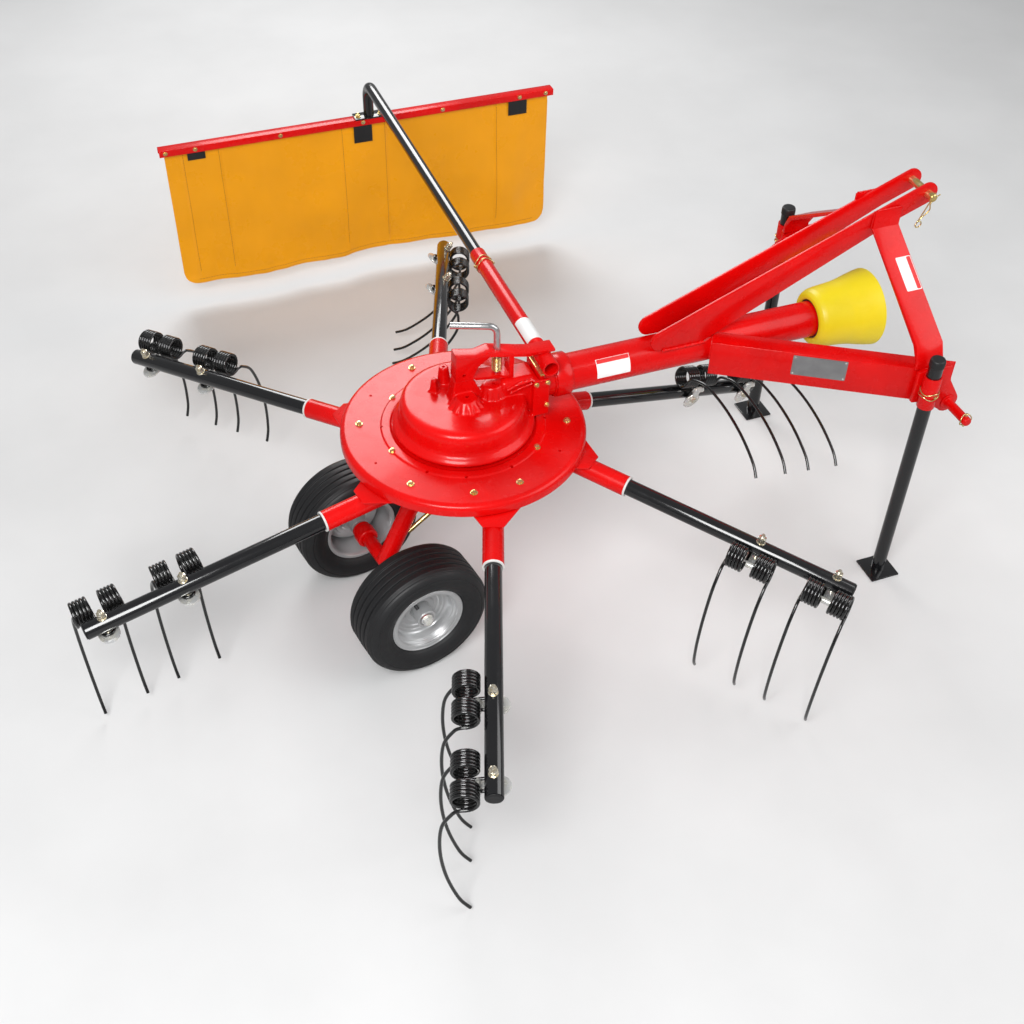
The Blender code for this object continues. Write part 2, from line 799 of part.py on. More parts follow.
def build_hitch_plate(base, side, tag):
    """The plate at a fork's end, with the stand's sleeve."""
    back, top = STAND_X - 0.030, FORK_Z[1]
    outline = [(back, top), (back, FORK_Z[0] + 0.005), (STAND_X + 0.012, FORK_Z[0] - 0.003)]
    outline += arc((PIN_X, PIN_Z), EYE_R, 215.0, 400.0, 8)
    outline += [(PIN_X - 0.010, PIN_Z + 0.083), (PIN_X - 0.020, top)]
    low, high = sorted((side * PLATE_Y[0], side * PLATE_Y[1]))
    finish("hitch_plate_" + tag, slab(outline, low, high, "Y"), red_paint(), base)
    centre = side * (PLATE_Y[1] + GAP + STAND_SLEEVE_R)
    sides = 20
    inner = bore(STAND_R, GAP, sides)
    profile = tube_profile(STAND_SLEEVE_R, inner, STAND_SLEEVE_Z[0], STAND_SLEEVE_Z[1])
    finish("stand_sleeve_" + tag, turned(profile, sides), red_paint(), base,
           Matrix.Translation((STAND_X, centre, 0.0)))
    profile = [
        (0.0, PLATE_Y[1] + GAP),
        (0.025, PLATE_Y[1] + GAP),
        (0.025, PIN_SHOULDER),
        (PIN_R, PIN_SHOULDER),
        (PIN_R, PIN_END - 0.004),
        (PIN_R - 0.004, PIN_END),
        (0.0, PIN_END),
    ]
    place = along_y(PIN_X, 0.0, PIN_Z)
    if side < 0.0:
        place = Matrix.Translation((PIN_X, 0.0, PIN_Z)) @ Matrix.Rotation(math.pi / 2.0, 4, "X")
    finish("lower_pin_" + tag, turned(profile, 16), bare_steel(), base, place)


def build_stand(base, side, tag):
    """A parking leg: a tube with a flat foot, sliding in its sleeve."""
    y = side * (PLATE_Y[1] + GAP + STAND_SLEEVE_R)
    pivot = add_empty("stand_slide_" + tag, base, (STAND_X, y, 0.0))
    profile = [
        (0.0, STAND_FOOT_T / 2.0),
        (STAND_R, STAND_FOOT_T / 2.0),
        (STAND_R, STAND_TOP - 0.004),
        (STAND_R - 0.004, STAND_TOP),
        (0.0, STAND_TOP),
    ]
    leg = finish("parking_stand_" + tag, turned(profile, 20), black_paint(), pivot)
    half = STAND_FOOT / 2.0
    foot = box((-half, -half, 0.0), (half, half, STAND_FOOT_T))
    boolean(leg, helper("stand_foot_" + tag, foot, pivot), "UNION")
    return leg


def build_top_pin(base):
    head = RAIL_Y[1] + RUN
    profile = [
        (0.0, -head - 0.010),
        (0.020, -head - 0.010),
        (0.020, -head),
        (TOP_PIN_R, -head),
        (TOP_PIN_R, head + 0.028),
        (TOP_PIN_R - 0.003, head + 0.031),
        (0.0, head + 0.031),
    ]
    place = along_y(RAIL_HIGH[0], 0.0, RAIL_HIGH[1]) @ Matrix.Rotation(math.pi, 4, "X")
    return finish("top_link_pin", turned(profile, 20), bare_steel(), base, place)


def build_guard(base):
    """The drive shaft's flared guard, pushed over the drawbar's end."""
    back, front = GUARD_X
    sides = 28
    seat = bore(BEAM_R, GAP, sides)
    wall = GUARD_WALL
    profile = [
        (seat + wall, back),
        (seat + wall, back + 0.040),
        (seat + wall + 0.010, back + 0.055),
        (GUARD_R - 0.030, back + 0.110),
        (GUARD_R - 0.004, back + 0.180),
        (GUARD_R, front),
        (GUARD_R - wall, front),
        (GUARD_R - wall - 0.004, back + 0.180),
        (GUARD_R - wall - 0.030, back + 0.113),
        (seat + 0.010, back + 0.060),
        (seat, back + 0.044),
        (seat, back),
    ]
    return finish("shaft_guard", turned(profile, sides), guard_plastic(), base,
                  along_x(0.0, 0.0, BEAM_Z))


def build_drive_stub(base):
    pivot = add_empty("drive_axis", base, (0.0, 0.0, BEAM_Z))
    back, front = SHAFT_X
    profile = [
        (0.0, back),
        (SHAFT_R, back),
        (SHAFT_R, front - 0.060),
        (SHAFT_R - 0.004, front - 0.056),
        (SHAFT_R - 0.004, front - 0.048),
        (SHAFT_R, front - 0.044),
        (SHAFT_R, front - 0.003),
        (SHAFT_R - 0.003, front),
        (0.0, front),
    ]
    return finish("drive_stub", turned(profile, 14), bare_steel(), pivot, along_x())


def build_boom_sleeve(base):
    sides = 24
    profile = tube_profile(SLEEVE_R, bore(BOOM_R, GAP, sides), SLEEVE_Y[0], SLEEVE_Y[1])
    return finish("boom_sleeve", turned(profile, sides), red_paint(), base,
                  along_y(BOOM_X, 0.0, BOOM_Z))


def build_curtain_set(base):
    pivot = add_empty("curtain_slide", base, (BOOM_X, 0.0, BOOM_Z))
    start, end = BOOM_Y
    points = [(0.0, start, 0.0)]
    for a, b in arc((end - BOOM_BEND, -BOOM_BEND), BOOM_BEND, 90.0, 0.0, 5):
        points.append((0.0, a, b))
    foot = BAR_TOP + GAP - BOOM_Z
    points.append((0.0, end, foot + 0.003))
    boom = finish("curtain_boom", swept(points, BOOM_R, 14, (1.0, 0.0, 0.0)),
                  black_paint(), pivot)
    plate = box((-0.060, end - 0.026, foot), (0.060, end + 0.026, foot + 0.006))
    boolean(boom, helper("boom_foot", plate, pivot), "UNION")

    half = BAR_W / 2.0
    top = BAR_TOP
    outline = [
        (end - half, top),
        (end - half, top - BAR_DEPTH),
        (end - half + BAR_T, top - BAR_DEPTH),
        (end - half + BAR_T, top - BAR_T),
        (end + half - BAR_T, top - BAR_T),
        (end + half - BAR_T, top - BAR_DEPTH),
        (end + half, top - BAR_DEPTH),
        (end + half, top),
    ]
    to_slide = Matrix.Translation((-BOOM_X, 0.0, -BOOM_Z))
    finish("curtain_bar", slab(outline, BAR_X[0], BAR_X[1], "X"), red_paint(), pivot, to_slide)

    corner = 0.050
    high = top - BAR_T - GAP
    low = CURTAIN_BOTTOM
    left, right = CURTAIN_X
    outline = [(left, high)]
    outline += arc((left + corner, low + corner), corner, 180.0, 270.0, 4)
    outline += arc((right - corner, low + corner), corner, 270.0, 360.0, 4)
    outline += [(right, high)]
    face = end - CURTAIN_T / 2.0
    finish("curtain", slab(outline, face, face + CURTAIN_T, "Y"), curtain_canvas(), pivot, to_slide)


def build_castor(base):
    """The swivelling frame under the column that carries the wheels."""
    pivot = add_empty("castor_axis", base, (0.0, 0.0, 0.0), math.radians(CASTOR_YAW))
    low, high = CASTOR_HUB_Z
    sides = 24
    inner = bore(SPINDLE_R, GAP, sides)
    hub = turned(tube_profile(CASTOR_HUB_R, inner, low, high), sides)
    frame = finish("castor_frame", hub, red_paint(), pivot)
    middle = (low + high) / 2.0
    line = [
        (-CASTOR_HUB_R + 0.010, 0.0, middle),
        (-0.140, 0.0, middle),
        (-0.165, 0.0, middle - 0.008),
        (-0.182, 0.0, middle - 0.030),
        (-CASTOR_TRAIL + 0.004, 0.0, WHEEL_R + 0.008),
        (-CASTOR_TRAIL, 0.0, WHEEL_R),
    ]
    arm = helper("castor_arm", swept(line, CASTOR_TUBE_R, 12, (0.0, 1.0, 0.0)), pivot)
    boolean(frame, arm, "UNION")
    inner = WHEEL_Y - HUB_HALF - 0.006
    outer = WHEEL_Y + HUB_HALF + 0.012
    profile = [
        (0.0, -outer),
        (STUB_R, -outer),
        (STUB_R, -inner),
        (AXLE_R, -inner),
        (AXLE_R, inner),
        (STUB_R, inner),
        (STUB_R, outer),
        (0.0, outer),
    ]
    axle = helper("castor_axle", turned(profile, 16), pivot, along_y(-CASTOR_TRAIL, 0.0, WHEEL_R))
    boolean(frame, axle, "UNION")
    build_link(pivot)
    for side, tag in ((1.0, "left"), (-1.0, "right")):
        build_wheel(pivot, side, tag)


def build_link(pivot):
    """The plated rod that braces the castor's leg."""
    points = [
        (-0.0515, 0.0, CASTOR_HUB_Z[0] - GAP),
        (-0.0515, 0.0, 0.376),
        (-0.060, 0.0, 0.366),
        (-0.1965, 0.0, 0.287),
    ]
    return finish("castor_link", swept(points, LINK_R, 12, (0.0, 1.0, 0.0)), zinc_plate(), pivot)


def build_wheel(pivot, side, tag):
    axis = add_empty("wheel_axis_" + tag, pivot, (-CASTOR_TRAIL, side * WHEEL_Y, WHEEL_R))
    half = WHEEL_W / 2.0
    seat = bore(RIM_R, GAP, 30)
    flange = 0.058
    tyre = [
        (seat, -flange),
        (RIM_FLANGE_R + 0.004, -flange - 0.004),
        (0.135, -half + 0.005),
        (0.160, -half),
        (0.182, -half + 0.006),
        (0.196, -half + 0.026),
        (WHEEL_R, -half + 0.050),
        (WHEEL_R, half - 0.050),
        (0.196, half - 0.026),
        (0.182, half - 0.006),
        (0.160, half),
        (0.135, half - 0.005),
        (RIM_FLANGE_R + 0.004, flange + 0.004),
        (seat, flange),
    ]
    finish("tyre_" + tag, turned(tyre, 30), tyre_rubber(), axis, along_y())
    sides = 20
    inner = bore(STUB_R, GAP, sides)
    web = 0.012 * side
    inner_hub = -HUB_HALF
    outer_hub = HUB_HALF
    wall = 0.003
    edge = flange - 0.001
    rim = [
        (inner, inner_hub),
        (HUB_R, inner_hub),
        (HUB_R, web - 0.004),
        (RIM_R - 0.020, web - 0.004 - 0.010),
        (RIM_R - wall, web - 0.014),
        (RIM_R - wall, -edge),
        (RIM_R, -edge),
        (RIM_R, edge),
        (RIM_R - wall, edge),
        (RIM_R - wall, web - 0.010),
        (RIM_R - 0.020, web - 0.010),
        (HUB_R, web + 0.002),
        (HUB_R, outer_hub),
        (inner, outer_hub),
    ]
    finish("rim_" + tag, turned(rim, sides), silver_paint(), axis, along_y())


def build_rake():
    for old in list(bpy.data.objects):
        bpy.data.objects.remove(old, do_unlink=True)
    base = add_empty("rake_frame", None, (ROTOR_X, ROTOR_Y, 0.0))
    rotor = add_empty("rotor_axis", base)
    build_rotor(rotor)
    build_column(base)
    build_head(base)
    build_crank_bracket(base)
    build_crank(base)
    build_drawbar(base)
    build_top_pin(base)
    for side, tag in ((1.0, "left"), (-1.0, "right")):
        build_fork(base, side, tag)
        build_rail(base, side, tag)
        build_strap(base, side, tag)
        build_hitch_plate(base, side, tag)
        build_stand(base, side, tag)
    build_guard(base)
    build_drive_stub(base)
    build_boom_sleeve(base)
    build_curtain_set(base)
    build_castor(base)


build_rake()
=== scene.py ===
"""Paint, springs, wheels, curtain and fittings for a mounted rotary hay rake.

Sizes are in metres and are given from the rotor's axis, with X forward to the
hitch, Y to the left and Z up; set_down() then moves each piece to its place.
"""
from math import atan, cos, pi, radians, sin, sqrt, tau

import bpy
from mathutils import Euler, Matrix, Vector, noise as field


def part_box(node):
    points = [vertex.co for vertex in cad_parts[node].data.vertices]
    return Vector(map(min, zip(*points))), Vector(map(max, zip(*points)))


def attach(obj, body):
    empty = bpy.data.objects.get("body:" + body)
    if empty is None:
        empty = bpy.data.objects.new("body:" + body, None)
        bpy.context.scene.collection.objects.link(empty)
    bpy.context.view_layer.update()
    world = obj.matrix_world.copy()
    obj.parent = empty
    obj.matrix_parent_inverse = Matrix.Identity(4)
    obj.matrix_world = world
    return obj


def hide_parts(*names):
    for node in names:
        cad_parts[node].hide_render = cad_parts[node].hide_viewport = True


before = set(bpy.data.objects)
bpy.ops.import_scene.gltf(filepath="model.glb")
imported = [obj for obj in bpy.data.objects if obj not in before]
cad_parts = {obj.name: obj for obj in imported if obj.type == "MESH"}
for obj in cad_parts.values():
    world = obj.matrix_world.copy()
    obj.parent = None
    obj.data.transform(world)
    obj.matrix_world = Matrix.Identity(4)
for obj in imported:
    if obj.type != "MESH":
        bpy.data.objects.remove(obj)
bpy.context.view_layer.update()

bl_info = {
    "name": "Rotary Hay Rake",
    "version": (1, 0, 0),
    "blender": (4, 5, 0),
    "location": "View3D > Sidebar > Hay Rake",
    "description": "Paint, springs, wheels, curtain and fittings of a rotary hay rake",
    "category": "Object",
}

LOW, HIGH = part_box("column")
ROTOR = Vector(((LOW.x + HIGH.x) / 2.0, (LOW.y + HIGH.y) / 2.0, 0))

# Arms: number, roll in the socket in degrees, how far its tines lean outward,
# height of its line at the rotor's axis, and its fall per metre outward.
ARMS = (
    (1, 3.0, 0.018, 0.5994, 0.102),
    (2, 76.0, 0, 0.611, 0.295),
    (3, -36.0, 0.09, 0.5994, 0.102),
    (4, 16.0, 0.07, 0.5994, 0.102),
    (5, 1.0, 0.034, 0.5994, 0.102),
    (6, -4.0, 0.054, 0.5994, 0.102),
)
FIRST_HEADING = -49.9
ARM_OFFSET = 0.0865
ARM_R = 0.02415
ARM_WALL = 0.003
ARM_START = 0.3
ARM_END = 1.194
SOCKET_R = 0.0302
SOCKET_START = 0.215
SOCKET_MOUTH = 0.4957
SOCKET_SEAT = 0.0272
SOCKET_PLATE = ((0.206, -0.085), (0.322, -0.085), (0.285, 0.085), (0.172, 0.085))
SOCKET_WING = ((0.215, -0.085), (0.3, -0.085), (0.385, -0.029), (0.385, 0.029),
               (0.3, 0.085), (0.19, 0.085))
TINE_STATIONS = (("outer", 1.1407), ("inner", 0.9127))
TINE_LEG = ((-0.088, -0.0345), (-0.106, -0.048), (-0.135, -0.1), (-0.147, -0.2),
            (-0.14, -0.31), (-0.116, -0.41), (-0.09, -0.456))
COIL_BEHIND, COIL_INSET, COIL_WIDTH, TIP_SPREAD = -0.0703, 0.0168, 0.049, 0.0656
COIL_STEPS = 22

DISC_R = 0.3616
DISC_TOP = 0.64
DRUM_TOP = 0.74
BEAM_R = 0.0555
BEAM_Z = 0.744
BEAM_X = (0.228, 1.16)
CRANK_X = 0.102
BOOM_X = 0.243
BOOM_Z = 0.8245
CURTAIN_X = (-0.548, 0.984)
CURTAIN_Y = 1.8
CURTAIN_TOP = 0.6845
CURTAIN_LOW = 0.087
CURTAIN_POCKETS = ((-0.487, -0.34), (0.125, 0.31), (0.759, 0.984))
THREAD_R = 0.0009
WHEEL_TRAIL = 0.28
WHEEL_TRACK = 0.2225
WHEEL_R = 0.2
CASTOR_YAW = 10.0
STAND_X, STAND_Y = 1.288, 0.435
LOWER_PIN_X, LOWER_PIN_Y, LOWER_PIN_Z = 1.392, 0.5, 0.657
TOP_PIN_X, TOP_PIN_Z = 1.428, 1.153
SIDES = ((1.0, "left"), (-1.0, "right"))


# Settings that a user may change

def colour(name, use, default):
    return bpy.props.FloatVectorProperty(
        name=name, description=use, subtype="COLOR", size=3, min=0.0, max=1.0, default=default)


def length(name, use, default, low, high):
    return bpy.props.FloatProperty(
        name=name, description=use, default=default, min=low, max=high, unit="LENGTH")


class RakePaint(bpy.types.PropertyGroup):
    red: colour("Red Enamel", "Colour of the frame, rotor and headstock", (0.68, 0.0015, 0.0015))
    black: colour("Black Enamel", "Colour of the tine arms, boom and stands", (0.005, 0.005, 0.006))
    guard: colour("Guard Yellow", "Colour of the moulded shaft guard", (0.78, 0.66, 0.01))
    canvas: colour("Curtain Canvas", "Colour of the coated swath curtain", (0.83, 0.335, 0.002))


class RakeSizes(bpy.types.PropertyGroup):
    wire: length("Tine Wire", "Radius of the tine wire", 0.0048, 0.003, 0.007)
    turns: bpy.props.IntProperty(
        name="Coil Turns", description="Turns in each tine coil", default=5, min=2, max=8)
    coil: length("Coil Radius", "Radius of a tine coil at the wire's middle", 0.0327, 0.02, 0.05)
    sag: length("Curtain Ripple", "Depth of the ripples in the curtain", 0.013, 0, 0.03)


# Places

def at(x, y, z):
    return Matrix.Translation((x, y, z))


def about(axis, angle):
    return Matrix.Rotation(angle, 4, axis)


def along_x(x=0.0, y=0.0, z=0.0):
    """Z laid along X."""
    return at(x, y, z) @ about("Y", pi / 2.0)


def along_y(x=0.0, y=0.0, z=0.0):
    """Z laid along Y."""
    return at(x, y, z) @ about("X", -pi / 2.0)


STAY = Matrix()


# Selecting and shaping

def settle():
    """Leave edit mode with nothing selected."""
    if bpy.context.object and bpy.context.object.mode != "OBJECT":
        bpy.ops.object.mode_set(mode="OBJECT")
    bpy.ops.object.select_all(action="DESELECT")


def choose(*objects):
    settle()
    for item in objects:
        item.select_set(True)
    bpy.context.view_layer.objects.active = objects[0]
    return objects[0]


def edit(item):
    choose(item)
    bpy.ops.object.mode_set(mode="EDIT")
    bpy.ops.mesh.select_mode(type="VERT")
    bpy.ops.mesh.select_all(action="SELECT")


def moved(item, place):
    """Carry a piece to its place inside its mesh."""
    item.data.transform(place)
    item.data.update()
    return item


def smoothed(item, degrees=35.0):
    choose(item)
    bpy.ops.object.shade_smooth_by_angle(angle=radians(degrees))
    settle()
    return item


def applied(item, kind, **settings):
    """Shape a piece with a modifier, for good."""
    choose(item)
    step = item.modifiers.new("step", kind)
    for key, value in settings.items():
        setattr(step, key, value)
    bpy.ops.object.modifier_apply(modifier="step")
    return item


def rounded(item, width):
    """Round the sharp edges of a piece."""
    return smoothed(applied(item, "BEVEL", width=width, segments=2, limit_method="ANGLE",
                            angle_limit=radians(35.0), harden_normals=False))


def drawn(name, points, closed=False):
    """A line of points, ready to be spun or filled."""
    mesh = bpy.data.meshes.new(name)
    links = [(index, index + 1) for index in range(len(points) - 1)]
    if closed:
        links.append((len(points) - 1, 0))
    mesh.from_pydata([tuple(point) for point in points], links, [])
    item = bpy.data.objects.new(name, mesh)
    bpy.context.collection.objects.link(item)
    return item


def eased(points, radius, closed=False, steps=3):
    """Round the corners of a flat outline."""
    found = []
    count = len(points)
    for index, corner in enumerate(points):
        corner = Vector(corner)
        if not closed and index in (0, count - 1):
            found.append(tuple(corner))
            continue
        before = Vector(points[index - 1]) - corner
        after = Vector(points[(index + 1) % count]) - corner
        reach = min(radius, before.length * 0.45, after.length * 0.45)
        start = corner + before.normalized() * reach
        stop = corner + after.normalized() * reach
        for step in range(steps + 1):
            share = step / steps
            point = start.lerp(corner, share).lerp(corner.lerp(stop, share), share)
            found.append(tuple(point))
    return found


def spun(name, profile, steps=96, closed=False, place=STAY, degrees=40.0):
    """Turn an outline of (radius, height) points about Z, as on a lathe."""
    item = drawn(name, [(radius, 0, height) for radius, height in profile], closed)
    edit(item)
    bpy.ops.mesh.spin(steps=steps, angle=tau, center=(0, 0, 0), axis=(0, 0, 1))
    bpy.ops.mesh.select_all(action="SELECT")
    bpy.ops.mesh.remove_doubles(threshold=0.00002)
    bpy.ops.mesh.normals_make_consistent(inside=False)
    settle()
    return moved(smoothed(item, degrees), place)


PLACES = {
    "X": lambda a, b, t: (t, a, b),
    "Y": lambda a, b, t: (a, t, b),
    "Z": lambda a, b, t: (a, b, t),
}


def plate(name, outline, low, high, axis, edge=0.0, place=STAY):
    """Fill a flat outline and extrude it to a plate."""
    to = PLACES[axis]
    item = drawn(name, [to(a, b, low) for a, b in outline], True)
    edit(item)
    bpy.ops.mesh.edge_face_add()
    bpy.ops.mesh.extrude_region_move(
        TRANSFORM_OT_translate={"value": to(0, 0, high - low)})
    bpy.ops.mesh.select_all(action="SELECT")
    bpy.ops.mesh.normals_make_consistent(inside=False)
    settle()
    return moved(rounded(item, edge) if edge > 0.0 else smoothed(item), place)


def block(name, low, high, edge=0.0, place=STAY):
    low, high = Vector(low), Vector(high)
    settle()
    bpy.ops.mesh.primitive_cube_add(size=1.0, location=(0, 0, 0))
    item = bpy.context.object
    item.name = name
    moved(item, Matrix.Translation((low + high) / 2.0) @ Matrix.Diagonal((*(high - low), 1.0)))
    if edge > 0.0:
        rounded(item, edge)
    return moved(item, place)


def rod(name, points, radius, sides, place=STAY, swell=None, cyclic=False):
    """A round bar along a line of points."""
    curve = bpy.data.curves.new(name, "CURVE")
    curve.dimensions = "3D"
    spline = curve.splines.new("POLY")
    spline.points.add(len(points) - 1)
    for index, point in enumerate(points):
        spline.points[index].co = (*point, 1.0)
        spline.points[index].radius = swell[index] if swell else 1.0
    spline.use_cyclic_u = cyclic
    curve.bevel_depth = radius
    curve.bevel_resolution = max(0, (sides - 4) // 2)
    curve.use_fill_caps = not cyclic
    item = bpy.data.objects.new(name, curve)
    bpy.context.collection.objects.link(item)
    choose(item)
    bpy.ops.object.convert(target="MESH")
    item = bpy.context.object
    edit(item)
    bpy.ops.mesh.remove_doubles(threshold=0.00001)
    bpy.ops.mesh.normals_make_consistent(inside=False)
    settle()
    return moved(smoothed(item, 50.0), place)


def flowing(points, count):
    """A smooth line through points, with count points in each stretch."""
    points = [Vector(point) for point in points]
    found = []
    for index in range(len(points) - 1):
        before = points[max(index - 1, 0)]
        here, there = points[index], points[index + 1]
        after = points[min(index + 2, len(points) - 1)]
        for step in range(count):
            t = step / count
            a = 2.0 * here
            b = there - before
            c = 2.0 * before - 5.0 * here + 4.0 * there - after
            d = -before + 3.0 * here - 3.0 * there + after
            found.append(0.5 * (a + b * t + c * t * t + d * t * t * t))
    found.append(points[-1])
    return found


def bead(name, points, radius, place=STAY, cyclic=False):
    """A weld bead: a rod whose thickness ripples."""
    line = []
    for first, second in zip(points, points[1:] + ([points[0]] if cyclic else [])):
        first, second = Vector(first), Vector(second)
        cuts = max(2, int((second - first).length / (radius * 1.1)))
        line += [first.lerp(second, cut / cuts) for cut in range(cuts)]
    if not cyclic:
        line.append(Vector(points[-1]))
    swell = [1.0 + 0.22 * sin(index * 2.4) + 0.1 * sin(index * 1.1)
             for index in range(len(line))]
    return rod(name, line, radius, 8, place, swell, cyclic)


def copied(source, name, place):
    """A copy with a mesh of its own, carried to its place."""
    item = source.copy()
    item.data = source.data.copy()
    item.name = name
    bpy.context.collection.objects.link(item)
    return moved(item, place)


def stamped(model, name, places):
    """A copy of a model at each place; the model itself goes."""
    made = [copied(model, name, place) for place in places]
    dropped(model)
    return made


def joined(name, parts):
    item = choose(*parts)
    if len(parts) > 1:
        bpy.ops.object.join()
    item = bpy.context.view_layer.objects.active
    item.name = name
    item.data.name = name
    settle()
    return item


def dropped(*items):
    for item in items:
        bpy.data.objects.remove(item, do_unlink=True)


def cut(item, cutter):
    """Cut a piece with another and throw the cutter away."""
    applied(item, "BOOLEAN", operation="DIFFERENCE", solver="EXACT", object=cutter)
    dropped(cutter)
    return smoothed(item)


def rod_of(name, radius, low, high, sides, edge=0.0008, place=STAY):
    """A round pin with eased ends."""
    profile = [(0, low), (radius - edge, low), (radius, low + edge),
               (radius, high - edge), (radius - edge, high), (0, high)]
    return spun(name, profile, sides, place=place)


def drilled(item, radius, sides, holes):
    """Drill a piece downward, at (x, y, bottom, top) of each hole."""
    drills = [rod_of("drill", radius, low, high, sides, place=at(x, y, 0))
              for x, y, low, high in holes]
    return cut(item, joined("drills", drills))


def ring_of(name, outer, inner, low, high, sides, edge=0.0008, place=STAY):
    """A tube, washer or ring with eased edges."""
    outline = eased([(outer, low), (outer, high), (inner, high), (inner, low)], edge, True, 2)
    return spun(name, outline, sides, True, place)


def hexagon(name, across, low, high):
    """A nut or bolt head with chamfered corners."""
    settle()
    bpy.ops.mesh.primitive_cylinder_add(
        vertices=6, radius=across / sqrt(3.0), depth=high - low, location=(0, 0, 0))
    item = bpy.context.object
    item.name = name
    moved(item, at(0, 0, (high + low) / 2.0))
    return rounded(item, across * 0.07)


def refined(node, name, edge):
    """A CAD node's shape with its flats merged and its edges rounded."""
    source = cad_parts[node]
    item = bpy.data.objects.new(name, source.data.copy())
    bpy.context.collection.objects.link(item)
    item.data.materials.clear()
    item.hide_render = False
    edit(item)
    bpy.ops.mesh.remove_doubles(threshold=0.00002)
    bpy.ops.mesh.dissolve_limited(angle_limit=radians(0.5))
    bpy.ops.mesh.select_all(action="SELECT")
    bpy.ops.mesh.normals_make_consistent(inside=False)
    settle()
    moved(item, Matrix.Translation(-ROTOR))
    return rounded(item, edge) if edge else smoothed(item)


def set_down(item, finish, *nodes, body="main_frame", slot="usual"):
    """Put a piece where the rake stands, paint it and hand it to its body."""
    moved(item, Matrix.Translation(ROTOR))
    item.data.materials.clear()
    item.data.materials.append(FINISH[finish])
    for face in item.data.polygons:
        face.material_index = 0
    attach(item, body)
    slot = SLOTS.get(finish) if slot == "usual" else slot
    if nodes:
        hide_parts(*nodes)
    return item


# Finishes

def fresh(name):
    """A new material, its nodes and its shader."""
    made = bpy.data.materials.new(name)
    made.use_nodes = True
    tree = made.node_tree
    return made, tree, tree.nodes["Principled BSDF"]


def added(tree, kind, **inputs):
    """A new node; a key stands for an input, with _ for a space."""
    made = tree.nodes.new("ShaderNode" + kind)
    for key, value in inputs.items():
        made.inputs[key.replace("_", " ")].default_value = value
    return made


def noise(tree, scale, detail=4.0, roughness=0.55):
    made = added(tree, "TexNoise", Scale=scale, Detail=detail, Roughness=roughness)
    tree.links.new(tree.nodes.new("ShaderNodeTexCoord").outputs["Object"], made.inputs["Vector"])
    return made.outputs["Fac"]


def tinted(tree, shader, share, low, high):
    """Base colour that drifts between two with a pattern."""
    ramp = tree.nodes.new("ShaderNodeValToRGB")
    for end, position, tone in zip(ramp.color_ramp.elements, (0.35, 0.65), (low, high)):
        end.position = position
        end.color = (*tone, 1.0)
    tree.links.new(share, ramp.inputs["Fac"])
    tree.links.new(ramp.outputs["Color"], shader.inputs["Base Color"])
    return ramp.outputs["Color"]


def roughened(tree, shader, share, low, high):
    made = added(tree, "MapRange", From_Min=0.3, From_Max=0.7, To_Min=low, To_Max=high)
    tree.links.new(share, made.inputs["Value"])
    tree.links.new(made.outputs["Result"], shader.inputs["Roughness"])


def bumped(tree, shader, height, strength, distance, under=None):
    made = added(tree, "Bump", Strength=strength, Distance=distance)
    tree.links.new(height, made.inputs["Height"])
    if under is not None:
        tree.links.new(under, made.inputs["Normal"])
    tree.links.new(made.outputs["Normal"], shader.inputs["Normal"])
    return made.outputs["Normal"]


def shade(colour, amount):
    return tuple(min(1.0, max(0, part * amount)) for part in colour)


def enamel(name, colour, roughness, coat, peel, gloss=0.24):
    """Sprayed gloss enamel: slight drift of colour and orange peel."""
    made, tree, shader = fresh(name)
    tinted(tree, shader, noise(tree, 5.0, 5.0), shade(colour, 0.86), shade(colour, 1.08))
    roughened(tree, shader, noise(tree, 22.0), roughness - 0.03, roughness + 0.06)
    shader.inputs["Specular IOR Level"].default_value = gloss
    shader.inputs["Coat Weight"].default_value = coat
    shader.inputs["Coat Roughness"].default_value = 0.06
    bumped(tree, shader, noise(tree, 170.0, 2.0), peel, 0.0006)
    return made


def plated(name, first, second, roughness, scale=60.0, wander=0.06, grain=0.12, metal=0.62):
    """Plated steel, or metallic paint, whose tint wanders."""
    made, tree, shader = fresh(name)
    tinted(tree, shader, noise(tree, scale, 3.0), first, second)
    shader.inputs["Metallic"].default_value = metal
    roughened(tree, shader, noise(tree, 90.0), roughness - wander, roughness + wander)
    bumped(tree, shader, noise(tree, 400.0, 2.0), grain, 0.0003)
    return made


def moulded(name, colour, roughness, grain, depth, drift=0.1):
    """Moulded plastic or rubber with a fine grain."""
    made, tree, shader = fresh(name)
    low, high = shade(colour, 1.0 - drift), shade(colour, 1.0 + drift)
    tinted(tree, shader, noise(tree, 9.0, 6.0), low, high)
    roughened(tree, shader, noise(tree, 40.0), roughness - 0.05, roughness + 0.08)
    bumped(tree, shader, noise(tree, grain, 3.0), depth, 0.0006)
    return made


def coated_canvas(name, colour):
    """Coated cloth: a weave under a glossy skin, a little rubbed."""
    made, tree, shader = fresh(name)
    tinted(tree, shader, noise(tree, 2.4, 4.0, 0.5), shade(colour, 0.92), shade(colour, 1.05))
    roughened(tree, shader, noise(tree, 9.0, 5.0), 0.24, 0.36)
    shader.inputs["Specular IOR Level"].default_value = 0.38
    where = tree.nodes.new("ShaderNodeTexCoord")
    both = tree.nodes.new("ShaderNodeMath")
    both.operation = "ADD"
    for index, direction in enumerate("XZ"):
        wave = added(tree, "TexWave", Scale=210.0)
        wave.bands_direction = direction
        tree.links.new(where.outputs["Object"], wave.inputs["Vector"])
        tree.links.new(wave.outputs["Fac"], both.inputs[index])
    weave = bumped(tree, shader, both.outputs["Value"], 0.1, 0.0004)
    bumped(tree, shader, noise(tree, 14.0, 3.0), 0.12, 0.004, weave)
    return made


